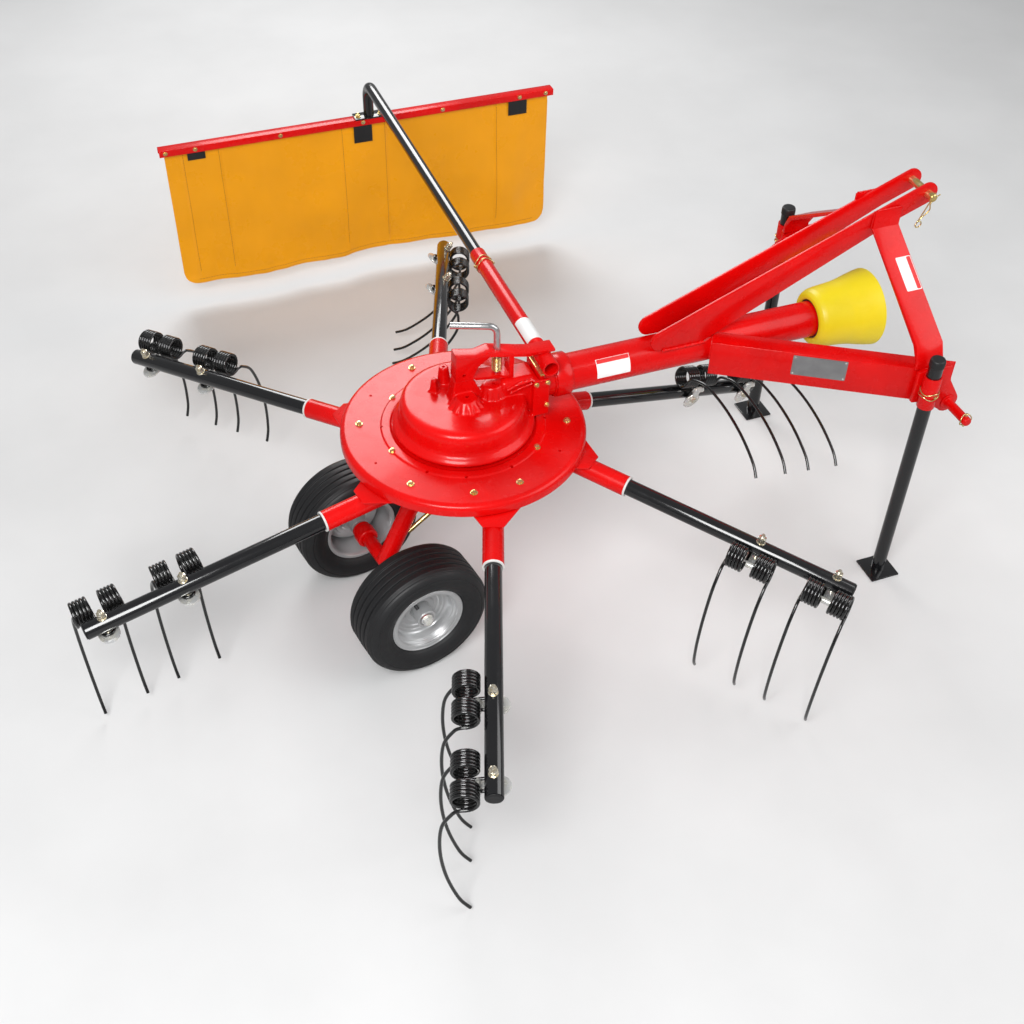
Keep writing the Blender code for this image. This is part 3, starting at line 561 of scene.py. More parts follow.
def mix_finishes():
    """Every finish on the rake, by name."""
    paint = bpy.context.scene.rake_paint
    FINISH.clear()
    FINISH.update({
        "red": enamel("red_enamel", tuple(paint.red), 0.25, 0.18, 0.04),
        "black": enamel("black_enamel", tuple(paint.black), 0.17, 0.8, 0.03, 0.5),
        "spring": enamel("spring_enamel", (0.006, 0.006, 0.006), 0.16, 0.8, 0.03, 0.5),
        "gold": plated("yellow_zinc", (0.74, 0.52, 0.16), (0.84, 0.7, 0.38), 0.22, metal=0.88),
        "warm": plated("clear_zinc", (0.72, 0.62, 0.42), (0.92, 0.88, 0.78), 0.2, 120.0, metal=0.9),
        "zinc": plated("bright_zinc", (0.78, 0.79, 0.8), (0.88, 0.86, 0.78), 0.24),
        "steel": plated("drawn_steel", (0.52, 0.52, 0.53), (0.62, 0.62, 0.62), 0.22, 30.0,
                        metal=0.85),
        "silver": plated("wheel_silver", (0.56, 0.565, 0.57), (0.6, 0.605, 0.61), 0.3, 6.0,
                         0.02, 0.02),
        "rubber": moulded("tyre_rubber_finish", (0.009, 0.009, 0.01), 0.5, 260.0, 0.22),
        "cap": moulded("black_cap", (0.012, 0.012, 0.013), 0.48, 300.0, 0.15),
        "nylon": moulded("white_nylon", (0.72, 0.71, 0.69), 0.45, 200.0, 0.1),
        "guard": moulded("guard_yellow", tuple(paint.guard), 0.4, 230.0, 0.08, 0.03),
        "label": moulded("blank_label", (0.82, 0.82, 0.81), 0.36, 120.0, 0.02),
        "label_red": moulded("label_border", (0.68, 0.012, 0.012), 0.36, 120.0, 0.02),
        "data_plate": plated("blank_data_plate", (0.27, 0.27, 0.275), (0.33, 0.33, 0.335), 0.34,
                             25.0),
        "canvas": coated_canvas("curtain_cloth", tuple(paint.canvas)),
        "thread": moulded("stitching", (0.36, 0.135, 0.004), 0.65, 500.0, 0.3),
    })


FINISH = {}
SLOTS = {
    "red": "red_paint", "black": "black_paint", "spring": "spring_steel", "rubber": "tyre_rubber",
    "silver": "silver_paint", "guard": "guard_plastic", "canvas": "curtain_canvas",
    "steel": "bare_steel", "gold": "zinc_plate", "warm": "zinc_plate",
}


# Rotor

def heading_of(number):
    return radians(FIRST_HEADING + 60.0 * (number - 1))


def arm_place(number, height, slope, roll=0.0):
    """From (along, leading, up) beside an arm to the rotor's frame."""
    tilt = about("Y", atan(slope))
    roll = about("X", radians(-roll))
    turn = about("Z", heading_of(number))
    return turn @ at(0, ARM_OFFSET, height) @ tilt @ roll


def reach(slope, plan):
    return plan * sqrt(1.0 + slope * slope)


def bolt_holes():
    """Where the disc is drilled: place in plan, and whether a bolt fills it."""
    found = []
    for number, *_ in ARMS:
        for angle, radius, filled in ((2.7, 0.239, number != 6), (6.2, 0.3045, number == 6),
                                      (31.9, 0.3045, True), (35.5, 0.2395, False)):
            turn = heading_of(number) + radians(angle)
            found.append((radius * cos(turn), radius * sin(turn), filled))
    return found


def make_disc():
    top, rim = DISC_TOP, DISC_TOP - 0.038
    outline = [
        (0.0456, top - 0.018), (0.075, top - 0.018), (0.08, top - 0.008),
        (DISC_R - 0.022, top - 0.008), (DISC_R - 0.009, top - 0.016), (DISC_R - 0.007, rim),
        (DISC_R - 0.0005, rim), (DISC_R, rim + 0.006), (DISC_R, top - 0.014),
        (DISC_R - 0.004, top - 0.005), (DISC_R - 0.014, top), (0.243, top),
        (0.239, top + 0.003), (0.215, top + 0.003), (0.211, top), (0.08, top),
        (0.0735, top + 0.0065), (0.0456, top + 0.0065),
    ]
    disc = spun("rotor_disc_plate", eased(outline, 0.006, True), 160, True)
    drilled(disc, 0.0045, 16, [(x, y, top - 0.05, top + 0.02)
                               for x, y, filled in bolt_holes() if not filled])
    set_down(disc, "red", "rotor_disc", body="rotor")

    bottom = 0.486
    under = top - 0.0083
    outline = [(0.075, bottom), (0.178, bottom), (0.2, bottom + 0.022), (0.2, under),
               (0.196, under), (0.196, bottom + 0.025), (0.177, bottom + 0.004),
               (0.075, bottom + 0.004)]
    pan = spun("rotor_pan", eased(outline, 0.006, True), 120, True)
    set_down(pan, "red", "rotor_housing", body="rotor")

    profile = [(0, 0.375), (0.038, 0.375), (0.038, 0.389), (0.03, 0.389), (0.03, 0.4495),
               (0.045, 0.4495), (0.045, 0.6477), (0, 0.6477)]
    column = spun("rotor_column", eased(profile, 0.0015), 72)
    set_down(column, "steel", "column")


def nut_stack(name, across, washer, thread, nuts, past=0.0105):
    """Washer, one or two nuts and the bolt's end, standing on z = 0."""
    bore = thread + 0.0003
    parts = [ring_of(name + "_washer", washer, bore, 0, 0.0024, 32)]
    level = 0.0024
    for tall in nuts:
        parts.append(hexagon(name + "_nut", across, level, level + tall))
        level += tall
    turns = []
    for step in range(int((past - 0.0012) / 0.0016)):
        low = level + 0.0016 * step
        turns += [(thread, low), (thread * 0.9, low + 0.0008)]
    stub = [(0, level - 0.002), (thread * 0.9, level - 0.002)] + turns
    stub += [(thread * 0.75, level + past), (0, level + past)]
    parts.append(spun(name + "_end", stub, 24))
    return joined(name, parts)


def make_disc_bolts():
    model = nut_stack("disc_nut_model", 0.0145, 0.011, 0.004, (0.0062,), 0.0036)
    nuts = stamped(model, "disc_nut", [at(x, y, DISC_TOP) @ about("Z", x * 40.0 + y * 17.0)
                                       for x, y, filled in bolt_holes() if filled])
    set_down(joined("disc_nuts", nuts), "gold", body="rotor")


def make_sockets():
    """The six sockets with their bolting plates, ribs, welds and bush rings."""
    top = DISC_TOP - 0.0083
    for number, roll, lean, height, slope in ARMS:
        place = arm_place(number, height, slope)
        heading = about("Z", heading_of(number))
        start, mouth = reach(slope, SOCKET_START), reach(slope, SOCKET_MOUTH)
        stop = reach(slope, ARM_START) - 0.0004
        bore = ARM_R + 0.0004
        profile = [(0, start), (SOCKET_R - 0.002, start), (SOCKET_R, start + 0.002),
                   (SOCKET_R, mouth - 0.0012), (SOCKET_R - 0.0012, mouth), (bore, mouth),
                   (bore, stop), (0, stop)]
        parts = [spun("socket_tube", profile, 56, place=place @ along_x())]
        outline = [(along, ARM_OFFSET + beside) for along, beside in SOCKET_PLATE]
        parts.append(plate("socket_plate", outline, top - 0.008, top, "Z", 0.0018, heading))
        outline = [(reach(slope, along), beside) for along, beside in SOCKET_WING]
        parts.append(plate("socket_wing", outline, SOCKET_SEAT, SOCKET_SEAT + 0.006, "Z",
                           0.0018, place))
        for side in (-1.0, 1.0):
            foot = [(x, height - slope * x + SOCKET_SEAT + 0.003) for x in (0.225, 0.29)]
            head = [(0.29, top - 0.004), (0.225, top - 0.004)]
            beside = ARM_OFFSET + side * 0.055
            parts.append(plate("socket_rib", foot + head, beside - 0.004, beside + 0.004, "Y",
                               0.0012, heading))
            line = [(reach(slope, x), side * 0.0165, 0.0262) for x in (0.222, 0.383)]
            parts.append(bead("socket_weld", line, 0.0034, place))
        piece = joined("socket_%d" % number, parts)
        set_down(piece, "red", "arm_socket_%d" % number, body="rotor")
        ring = ring_of("socket_ring_%d" % number, SOCKET_R + 0.0004, ARM_R + 0.0006,
                       mouth + 0.0002, mouth + 0.0062, 48, 0.0016, place @ along_x())
        set_down(ring, "nylon", body="rotor")


def make_arms():
    for number, roll, lean, height, slope in ARMS:
        start, end = reach(slope, ARM_START), reach(slope, ARM_END)
        inner = ARM_R - ARM_WALL
        place = arm_place(number, height, slope, roll) @ along_x()
        tube = ring_of("tine_arm_tube_%d" % number, ARM_R, inner, start, end, 56, place=place)
        set_down(tube, "black", "tine_arm_%d" % number, body="rotor")
        profile = [(0, end - 0.016), (inner - 0.0003, end - 0.016),
                   (inner - 0.0003, end + 0.0004), (inner + 0.0014, end + 0.0008),
                   (inner + 0.0014, end + 0.0024), (inner - 0.004, end + 0.0042), (0, end + 0.0048)]
        plug = spun("arm_plug_%d" % number, eased(profile, 0.001), 48, place=place)
        set_down(plug, "cap", body="rotor")


def tine_half(sizes, lean, side):
    """The wire from the middle of the clamp loop out to one tip."""
    wire = sizes.wire
    level = -(ARM_R + wire + 0.0006)
    loop = [(0, 0.0185, level), (side * 0.0095, 0.016, level), (side * 0.016, 0.006, level),
            (side * COIL_INSET, -0.01, level), (side * COIL_INSET, -0.034, level - 0.0008),
            (side * COIL_INSET, -0.056, -sizes.coil + 0.0002)]
    points = flowing(loop, 4)[:-1]
    pitch = COIL_WIDTH / sizes.turns
    total = sizes.turns * COIL_STEPS
    for step in range(total + 1):
        angle = -pi / 2.0 - tau * step / COIL_STEPS
        points.append(Vector((side * (COIL_INSET + pitch * step / COIL_STEPS),
                              COIL_BEHIND + sizes.coil * cos(angle),
                              sizes.coil * sin(angle))))
    last = COIL_INSET + pitch * sizes.turns
    leg = [(0, COIL_BEHIND, -sizes.coil)] + [(0, back, up) for back, up in TINE_LEG]
    start, tip = TINE_LEG[0][1], TINE_LEG[-1][1]
    for point in flowing(leg, 7)[1:]:
        share = max(0, (point.z - start) / (tip - start))
        along = side * (last + (TIP_SPREAD - last) * share) + lean * share
        points.append(Vector((along, point.y, point.z)))
    return points


def make_tines():
    sizes = bpy.context.scene.rake_sizes
    for number, roll, lean, height, slope in ARMS:
        frame_of = arm_place(number, height, slope, roll)
        right = tine_half(sizes, lean, 1.0)
        left = tine_half(sizes, lean, -1.0)
        line = left[:0:-1] + right
        for station, plan in TINE_STATIONS:
            label = "double_tine_%d_%s" % (number, station)
            wire = rod("wire_" + label, line, sizes.wire, 10,
                       frame_of @ at(reach(slope, plan), 0, 0))
            set_down(wire, "spring", label, body="rotor")


def clamp_plate(wire):
    """The pressed saddle under the arm that holds a tine's loop."""
    level = -(ARM_R + 2.0 * wire + 0.001)
    outline = [(-0.0135, -0.034), (0.0135, -0.034), (0.0135, -0.02), (0.029, -0.004)]
    outline += [(0.029 * cos(radians(a)), 0.01 + 0.031 * sin(radians(a)))
                for a in range(0, 181, 15)]
    outline += [(-0.029, -0.004), (-0.0135, -0.02)]
    base = plate("saddle", outline, level - 0.006, level, "Z", 0.0018)
    barrel = spun("saddle_roll", eased([(0, -0.0205), (0.0095, -0.0205), (0.0095, 0.0205),
                                        (0, 0.0205)], 0.0015), 32,
                  place=along_x(0, -0.0415, level - 0.0008))
    return joined("saddle_model", [base, barrel])


def make_clamps():
    sizes = bpy.context.scene.rake_sizes
    saddle = clamp_plate(sizes.wire)
    stack = nut_stack("clamp_nut_model", 0.0215, 0.0135, 0.0065, (0.0105, 0.0075))
    level = -(ARM_R + 2.0 * sizes.wire + 0.007)
    head = joined("clamp_head_model", [
        hexagon("clamp_head", 0.019, level - 0.0085, level - 0.0002),
        rod_of("clamp_shank", 0.006, level, -ARM_R + 0.001, 20)])
    for number, roll, lean, height, slope in ARMS:
        frame_of = arm_place(number, height, slope, roll)
        saddles, fasteners = [], []
        for station, plan in TINE_STATIONS:
            here = frame_of @ at(reach(slope, plan), 0, 0)
            saddles.append(copied(saddle, "saddle", here))
            fasteners.append(copied(stack, "clamp_nut", here @ at(0, 0, ARM_R - 0.0022)))
            fasteners.append(copied(head, "clamp_head", here))
        set_down(joined("tine_saddles_%d" % number, saddles), "zinc", body="rotor")
        set_down(joined("tine_bolts_%d" % number, fasteners), "warm", body="rotor")
    dropped(saddle, stack, head)


# Head

def cast(item, grain, rounds):
    """Melt overlapping shapes into one casting with soft inner corners."""
    applied(item, "REMESH", mode="VOXEL", voxel_size=grain)
    return smoothed(applied(item, "SMOOTH", factor=0.5, iterations=rounds), 50.0)


def fluted_boss(x, y, foot, upper, tall):
    """A draughted boss with ribs round it that fade toward its top."""
    low, high = DRUM_TOP - 0.01, DRUM_TOP + tall
    core = [(0, low), (foot * 0.9, low), (foot * 0.9, DRUM_TOP), (upper * 0.97, high),
            (0, high)]
    parts = [spun("boss_core", core, 64)]
    outline = [(0, low), (foot, low), (foot, DRUM_TOP + 0.001), (upper, high - 0.001),
               (0, high - 0.001)]
    for step in range(12):
        turn = about("Z", tau * step / 12)
        parts.append(plate("boss_rib", outline, -0.0062, 0.0062, "Y", 0, turn))
    boss = joined("boss", parts)
    return moved(boss, at(x, y, 0))


def make_head():
    """The cast gear head: drum, neck, side plate, lug, fluted bosses and posts."""
    low = 0.648
    outline = [
        (0, low), (0.207, low), (0.209, low + 0.007), (0.203, low + 0.015), (0.191, low + 0.024),
        (0.188, low + 0.034), (0.1842, 0.716), (0.18, 0.73), (0.172, 0.7375), (0.16, 0.74),
        (0, 0.74),
    ]
    sunk = DRUM_TOP - 0.01
    parts = [
        spun("drum", eased(outline, 0.006), 160),
        block("neck", (0.1, -0.046, 0.66), (0.215, 0.046, 0.79), 0.016),
        block("side_plate", (0.193, -0.0638, 0.66), (0.243, -0.0559, 0.788), 0),
        block("side_root", (0.193, -0.06, 0.666), (0.215, -0.023, 0.782), 0),
        plate("lug", [(-0.045, sunk), (0.06, sunk), (0.024, 0.812), (-0.03, 0.812)],
              -0.02, 0.02, "Y"),
        fluted_boss(-0.005, -0.04, 0.052, 0.029, 0.028),
        fluted_boss(0.083, -0.014, 0.044, 0.026, 0.036),
        *(spun("post", [(0, sunk), (foot, sunk), (tip, top), (0, top)], sides,
               place=at(x, y, 0))
          for foot, tip, top, sides, x, y in ((0.019, 0.01, DRUM_TOP + 0.042, 4, -0.07, 0.052),
                                              (0.021, 0.014, DRUM_TOP + 0.052, 40, -0.03, 0.085))),
    ]
    head = cast(joined("gear_head_cast", parts), 0.0022, 12)
    drilled(head, 0.0052, 24, [(x, y, top - 0.014, top + 0.02) for x, y, top in (
        (-0.002, -0.04, 0.768), (0.087, -0.017, 0.776), (-0.03, 0.085, 0.792))])
    smoothed(head, 50.0)
    set_down(head, "red", "gear_head")


def make_head_fittings():
    """Weld beads on the neck, the side plate's bolts and the plated strip."""
    beads = [bead("neck_weld", line, radius) for radius, line in (
        (0.0048, [(0.118, -0.047, 0.765), (0.15, -0.047, 0.777), (0.194, -0.05, 0.785)]),
        (0.004, [(0.128, -0.0475, 0.752), (0.165, -0.0475, 0.764), (0.193, -0.05, 0.772)]),
        (0.003, [(0.196, -0.0645, 0.787), (0.24, -0.0645, 0.787)]))]
    set_down(joined("neck_welds", beads), "red")
    model = nut_stack("side_nut_model", 0.011, 0.0078, 0.003, (0.005,), 0.003)
    nuts = stamped(model, "side_nut", [
        at(x, -0.0638, z) @ about("X", pi / 2.0)
        for x, z in ((0.201, 0.776), (0.235, 0.776), (0.235, 0.695))])
    set_down(joined("side_nuts", nuts), "gold")
    strip = block("plated_strip", (0.2135, -0.06, 0.7994), (0.2285, 0.031, 0.806), 0.001)
    set_down(strip, "gold")


def make_bracket_and_crank():
    bracket = refined("crank_bracket", "crank_loop", 0.0035)
    cut(bracket, rod_of("drill", 0.0052, -0.03, -0.012, 24, place=along_y(-0.0043, 0, 0.8306)))
    set_down(bracket, "red", "crank_bracket")
    x = CRANK_X
    line = [(x, 0, 0.8062), (x, 0, 0.85), (x, 0, 0.935)]
    line += [(x - 0.026 * (1 - cos(radians(a))), 0.008 * (a / 90.0),
              0.936 + 0.026 * sin(radians(a))) for a in range(15, 91, 15)]
    line += [(x - 0.06, 0.02, 0.963), (x - 0.125, 0.042, 0.965)]
    crank = rod("crank_handle", line, 0.0098, 28)
    set_down(crank, "steel", "height_crank")
    turns = []
    for step in range(10 * 16 + 1):
        angle = tau * step / 16
        turns.append((x + 0.0128 * cos(angle), 0.0128 * sin(angle),
                      0.81 + 0.0048 * step / 16))
    thread = rod("crank_thread", turns, 0.002, 8)
    set_down(thread, "gold", slot=None)


# Headstock

def ring_points(x, radius, count=48):
    return [(x, radius * cos(tau * step / count), BEAM_Z + radius * sin(tau * step / count))
            for step in range(count)]


def make_drawbar():
    back, front = BEAM_X
    profile = [(0, back), (BEAM_R - 0.001, back), (BEAM_R, back + 0.001),
               (BEAM_R, 0.2706), (0.0636, 0.271), (0.0645, 0.2722), (0.0645, 0.3168),
               (0.0636, 0.318), (BEAM_R, 0.3184), (BEAM_R, front - 0.001),
               (BEAM_R - 0.001, front), (0.018, front), (0.018, 1.028), (0, 1.028)]
    beam = spun("drawbar_tube", profile, 96, place=along_x(0, 0, BEAM_Z))
    set_down(beam, "red", "drawbar")
    flange = refined("drawbar_flange", "drawbar_root", 0.003)
    set_down(flange, "red", "drawbar_flange")
    welds = [bead("drawbar_weld", ring_points(0.2308, BEAM_R + 0.002), 0.0042, cyclic=True),
             bead("collar_weld", ring_points(0.269, BEAM_R + 0.0015), 0.0036, cyclic=True),
             bead("collar_weld", ring_points(0.32, BEAM_R + 0.0015), 0.0036, cyclic=True)]
    set_down(joined("drawbar_welds", welds), "red")


def facing(origin, along, up):
    """A place whose X runs along a face and whose Z points out of it."""
    along = Vector(along).normalized()
    out = along.cross(Vector(up)).normalized()
    up = out.cross(along)
    return Matrix.Translation(origin) @ Matrix((along, up, out)).transposed().to_4x4()


STRAP = (
    (0.0483, 1.13), (0.0483, 1.07), (0.3564, 0.8623), (0.3844, 0.8203), (0.3844, 0.7973),
    (0.3944, 0.7973), (0.3944, 0.8243), (0.3744, 0.8683), (0.0583, 1.074), (0.0583, 1.13),
)
HEADSTOCK_WELDS = (
    ("rail_weld", 0.0045, ((0.606, 0.049, 0.786), (0.642, 0.049, 0.7845), (0.742, 0.049, 0.785))),
    ("strap_weld", 0.003, ((1.256, 0.054, 1.1315), (1.336, 0.054, 1.1315))),
    ("strap_weld", 0.003, ((1.2515, 0.0505, 1.073), (1.2515, 0.0505, 1.128))),
    ("foot_weld", 0.003, ((1.256, 0.389, 0.7985), (1.338, 0.389, 0.7985))),
    ("fork_weld", 0.0035, ((1.277, 0.393, 0.7955), (1.277, 0.393, 0.685))),
    ("fork_root_weld", 0.0038, (
        (0.785, 0.025, 0.7955), (0.776, 0.04, 0.7845), (0.77, 0.049, 0.7715),
        (0.7662, 0.055, 0.756), (0.7652, 0.0565, 0.744), (0.7662, 0.055, 0.732),
        (0.77, 0.049, 0.7165))),
    ("fork_root_weld", 0.0038, (
        (0.787, 0.0252, 0.796), (0.8104, 0.0405, 0.7845), (0.8285, 0.051, 0.769),
        (0.837, 0.056, 0.746))),
)


def make_headstock():
    for tag in ("left", "right"):
        for node, edge in (("fork_arm_", 0.006), ("hitch_plate_", 0.0022)):
            piece = refined(node + tag, node + "painted_" + tag, edge)
            set_down(piece, "red", node + tag)
    low, high, half, lean = (0.6, 0.8182), (TOP_PIN_X, TOP_PIN_Z), 0.0325, 22.016
    outline = [(low[0] + half * cos(radians(a)), low[1] + half * sin(radians(a)))
               for a in (lean + 90, 130, 150, 170, 190, 210, 230, 250, 270)]
    outline += [(0.64, 0.7857), (0.736, 0.7865), (1.34, 1.083)]
    outline += [(high[0] + half * cos(radians(a)), high[1] + half * sin(radians(a)))
                for a in range(-68, 113, 15)]
    parts = []
    for side, tag in SIDES:
        near, far = sorted((side * 0.037, side * 0.048))
        rail = plate("top_rail_plate_" + tag, outline, near, far, "Y", 0.0022)
        set_down(rail, "red", "top_rail_" + tag)
        strap = plate("mast_strap_plate_" + tag, [(side * y, z) for y, z in STRAP], 1.252, 1.341,
                      "X", 0.0022)
        set_down(strap, "red", "mast_strap_" + tag)
        for name, radius, line in HEADSTOCK_WELDS:
            parts.append(bead(name, [(x, side * y, z) for x, y, z in line], radius))
    set_down(joined("headstock_welds", parts), "red")


def wrapped(name, radius, ends, arc):
    """A label bent round a tube along X; the arc runs in degrees up from -Y."""
    settle()
    bpy.ops.mesh.primitive_grid_add(x_subdivisions=16, y_subdivisions=30, size=1.0)
    item = bpy.context.object
    item.name = name
    for vertex in item.data.vertices:
        along = ends[0] + (ends[1] - ends[0]) * (vertex.co.x + 0.5)
        angle = radians(arc[0] + (arc[1] - arc[0]) * (vertex.co.y + 0.5))
        vertex.co = (along, -radius * cos(angle), radius * sin(angle))
    edit(applied(item, "SOLIDIFY", thickness=0.0004))
    bpy.ops.mesh.normals_make_consistent(inside=False)
    settle()
    return smoothed(item, 40.0)


def sticker(name, wide, tall, place, thick=0.0006):
    """A flat label with rounded corners, lying on its place."""
    w, h = wide / 2.0, tall / 2.0
    outline = eased([(-w, -h), (w, -h), (w, h), (-w, h)], 0.004, True, 4)
    return plate(name, outline, 0, thick, "Z", 0, place)


def make_labels():
    """Blank labels and the riveted data plate."""
    beam = at(0, 0, BEAM_Z)
    for name, arc, lift, ends, finish in (
            ("beam_label", (-3.8, 57.0), 0.0004, (0.397, 0.503), "label"),
            ("beam_label_band", (43.0, 55.5), 0.0018, (0.399, 0.501), "label_red")):
        set_down(moved(wrapped(name, BEAM_R + lift, ends, arc), beam), finish)
    turn = at(BOOM_X, 0, BOOM_Z) @ about("Z", pi / 2.0)
    label = wrapped("sleeve_label", 0.0257, (0.056, 0.16), (25.0, 165.0))
    set_down(moved(label, turn), "label")

    strap = facing((1.313, -0.1879, 0.9897), (1.0, 0, 0), (0, 0.3161, 0.2057))
    set_down(sticker("strap_label", 0.05, 0.108, strap), "label")
    band = sticker("strap_label_band", 0.013, 0.103, strap @ at(0.0165, 0, 0.0005))
    set_down(band, "label_red")

    fork = facing((0.7544, -0.0756, 0), (0.8542, -0.52, 0), (0, 0, 1.0))
    here = fork @ at(0.322, 0.755, 0)
    set_down(sticker("data_plate", 0.16, 0.07, here, 0.001), "data_plate")
    dome = [(0, 0.0008), (0.003, 0.0008), (0.0026, 0.0019), (0, 0.0024)]
    rivets = [spun("rivet", dome, 20, place=here @ at(x, y, 0))
              for x in (-0.074, 0.074) for y in (-0.029, 0.029)]
    set_down(joined("plate_rivets", rivets), "zinc")


def wavy_clip(name, radius, level, lift, place):
    """A spring wire that runs round a tube in shallow waves."""
    line = []
    for step in range(72):
        angle = tau * step / 72
        line.append((radius * cos(angle), radius * sin(angle), level + lift * sin(3.0 * angle)))
    return rod(name, line, 0.0018, 8, place, cyclic=True)


def hairpin(name, place, size=1.0):
    """An R clip: a straight leg, a waved leg and the loop that joins them."""
    line = [(0, 0.016), (0, -0.03), (0, -0.078)]
    line += [(0.0075 - 0.0095 * cos(radians(a)), -0.084 - 0.0095 * sin(radians(a)))
             for a in range(20, 341, 32)]
    line += [(0.006, -0.06), (0.013, -0.046), (0.015, -0.034), (0.0065, -0.022), (0.0055, -0.014),
             (0.012, -0.002), (0.013, 0.008), (0.019, 0.014)]
    points = [(a * size, 0, b * size) for a, b in line]
    return rod(name, flowing(points, 4), 0.002, 10, place)


def make_clips():
    """Spring clips at the top pin, the stands, the boom and the lower pins."""
    top = at(TOP_PIN_X, -0.072, TOP_PIN_Z) @ about("Y", radians(24.0))
    set_down(hairpin("top_pin_clip", top, 1.05), "gold", slot=None)
    for side, tag in SIDES:
        x, y = STAND_X, side * STAND_Y
        parts = [wavy_clip("clip", 0.0282, 0.748, 0.0035, at(x, y, 0)),
                 wavy_clip("clip", 0.0282, 0.733, 0.0035, at(x, y, 0) @ about("Z", 0.7)),
                 rod_of("clip_pin", 0.004, -0.034, 0.034, 20, place=along_y(x, y, 0.74))]
        set_down(joined("sleeve_clip_" + tag, parts), "gold", slot=None)
        ring = [(LOWER_PIN_X + 0.0195 * cos(a), side * LOWER_PIN_Y + side * 0.004 * cos(a * 2.0),
                 LOWER_PIN_Z + 0.0195 * sin(a)) for a in (tau * step / 48 for step in range(48))]
        parts = [rod("linch_ring", ring, 0.0019, 8, cyclic=True),
                 rod_of("linch_pin", 0.004, -0.0235, 0.0235, 20, 0.001,
                        at(LOWER_PIN_X, side * LOWER_PIN_Y, LOWER_PIN_Z))]
        set_down(joined("linch_pin_" + tag, parts), "gold", slot=None)
    turn = along_y(BOOM_X, 0, BOOM_Z)
    parts = [wavy_clip("clip", 0.0274, 0.486, 0.004, turn),
             wavy_clip("clip", 0.0274, 0.505, 0.004, turn),
             rod_of("clip_pin", 0.0038, -0.034, 0.034, 20, place=along_x(BOOM_X, 0.496, BOOM_Z))]
    set_down(joined("boom_clip", parts), "gold", slot=None)


def make_sleeves_and_stands():
    for side, tag in SIDES:
        x, y = STAND_X, side * STAND_Y
        here = at(x, y, 0)
        sleeve = ring_of("stand_sleeve_tube_" + tag, 0.0262, 0.0216, 0.69, 0.8, 56, 0.001, here)
        set_down(sleeve, "red", "stand_sleeve_" + tag)
        profile = [(0, 0.004), (0.0212, 0.004), (0.0212, 0.835), (0, 0.835)]
        tube = spun("stand_tube_" + tag, profile, 56, place=here)
        foot = block("stand_foot_" + tag, (-0.05, -0.05, 0), (0.05, 0.05, 0.006), 0.0015, here)
        piece = joined("stand_leg_" + tag, [tube, foot])
        set_down(piece, "black", "parking_stand_" + tag, body="stand_" + tag)
        cap = spun("stand_cap_" + tag, eased([(0, 0.834), (0.0228, 0.834), (0.0228, 0.853),
                                              (0.0205, 0.8615), (0, 0.8615)], 0.004), 48,
                   place=here)
        set_down(cap, "cap", body="stand_" + tag)


def make_pins():
    for side, tag in SIDES:
        place = at(LOWER_PIN_X, 0, LOWER_PIN_Z) @ about("X", -side * pi / 2.0)
        outline = [(0, 0.409), (0.025, 0.409), (0.025, 0.4125), (0.0143, 0.4125),
                   (0.0143, 0.508), (0.0115, 0.515), (0, 0.515)]
        pin = spun("hitch_pin_" + tag, eased(outline, 0.0015), 48, place=place)
        set_down(pin, "red", "lower_pin_" + tag)
    profile = [(0, -0.0585), (0.02, -0.0585), (0.02, -0.0485), (0.0125, -0.0485),
               (0.0125, 0.0765), (0.0095, 0.0795), (0, 0.0795)]
    place = along_y(TOP_PIN_X, 0, TOP_PIN_Z) @ about("X", pi)
    pin = spun("top_pin_steel", eased(profile, 0.0015), 40, place=place)
    set_down(pin, "gold", "top_link_pin", slot="bare_steel")


def make_guard():
    """The bell-shaped guard: a rounded back, a long cone and a flared lip."""
    back, front, seat = 1.13, 1.336, 0.0605
    outer = [
        (seat, back + 0.004), (seat + 0.004, back), (seat + 0.015, back + 0.0015),
        (seat + 0.025, back + 0.009), (seat + 0.031, back + 0.022), (seat + 0.034, back + 0.042),
        (0.097, back + 0.075), (0.1, back + 0.105), (0.1045, back + 0.13),
        (0.111, back + 0.155), (0.117, back + 0.182), (0.12, front - 0.006), (0.121, front),
    ]
    inner = [
        (0.1168, front), (0.113, back + 0.183), (0.1068, back + 0.156), (0.1004, back + 0.131),
        (0.096, back + 0.106), (0.093, back + 0.076), (seat + 0.03, back + 0.043),
        (seat + 0.027, back + 0.024), (seat + 0.021, back + 0.0125), (seat, back + 0.0085),
    ]
    guard = spun("shaft_guard_cone", eased(outer + inner, 0.0035, True), 144, True,
                 along_x(0, 0, BEAM_Z), 60.0)
    set_down(guard, "guard", "shaft_guard")
    ring = ring_of("guard_seat_ring", 0.0604, 0.0557, 1.1345, 1.1385, 72, 0.0006,
                   along_x(0, 0, BEAM_Z))
    set_down(ring, "cap")


def make_drive_end():
    """The splined shaft end inside the guard."""
    outline = []
    for tooth in range(6):
        for share, radius in ((0, 0.0148), (0.18, 0.0175), (0.55, 0.0175), (0.73, 0.0148)):
            angle = tau * (tooth + share) / 6
            outline.append((radius * cos(angle), radius * sin(angle)))
    spline = plate("drive_spline", outline, 1.12, 1.325, "Z", 0.0006)
    root = rod_of("drive_root", 0.0172, 1.031, 1.125, 40)
    groove = ring_of("drive_groove", 0.03, 0.015, 1.268, 1.278, 40, 0.001)
    piece = joined("drive_spline_end", [cut(spline, groove), root])
    moved(piece, along_x(0, 0, BEAM_Z))
    set_down(piece, "steel", "drive_stub", body="drive")


# Curtain

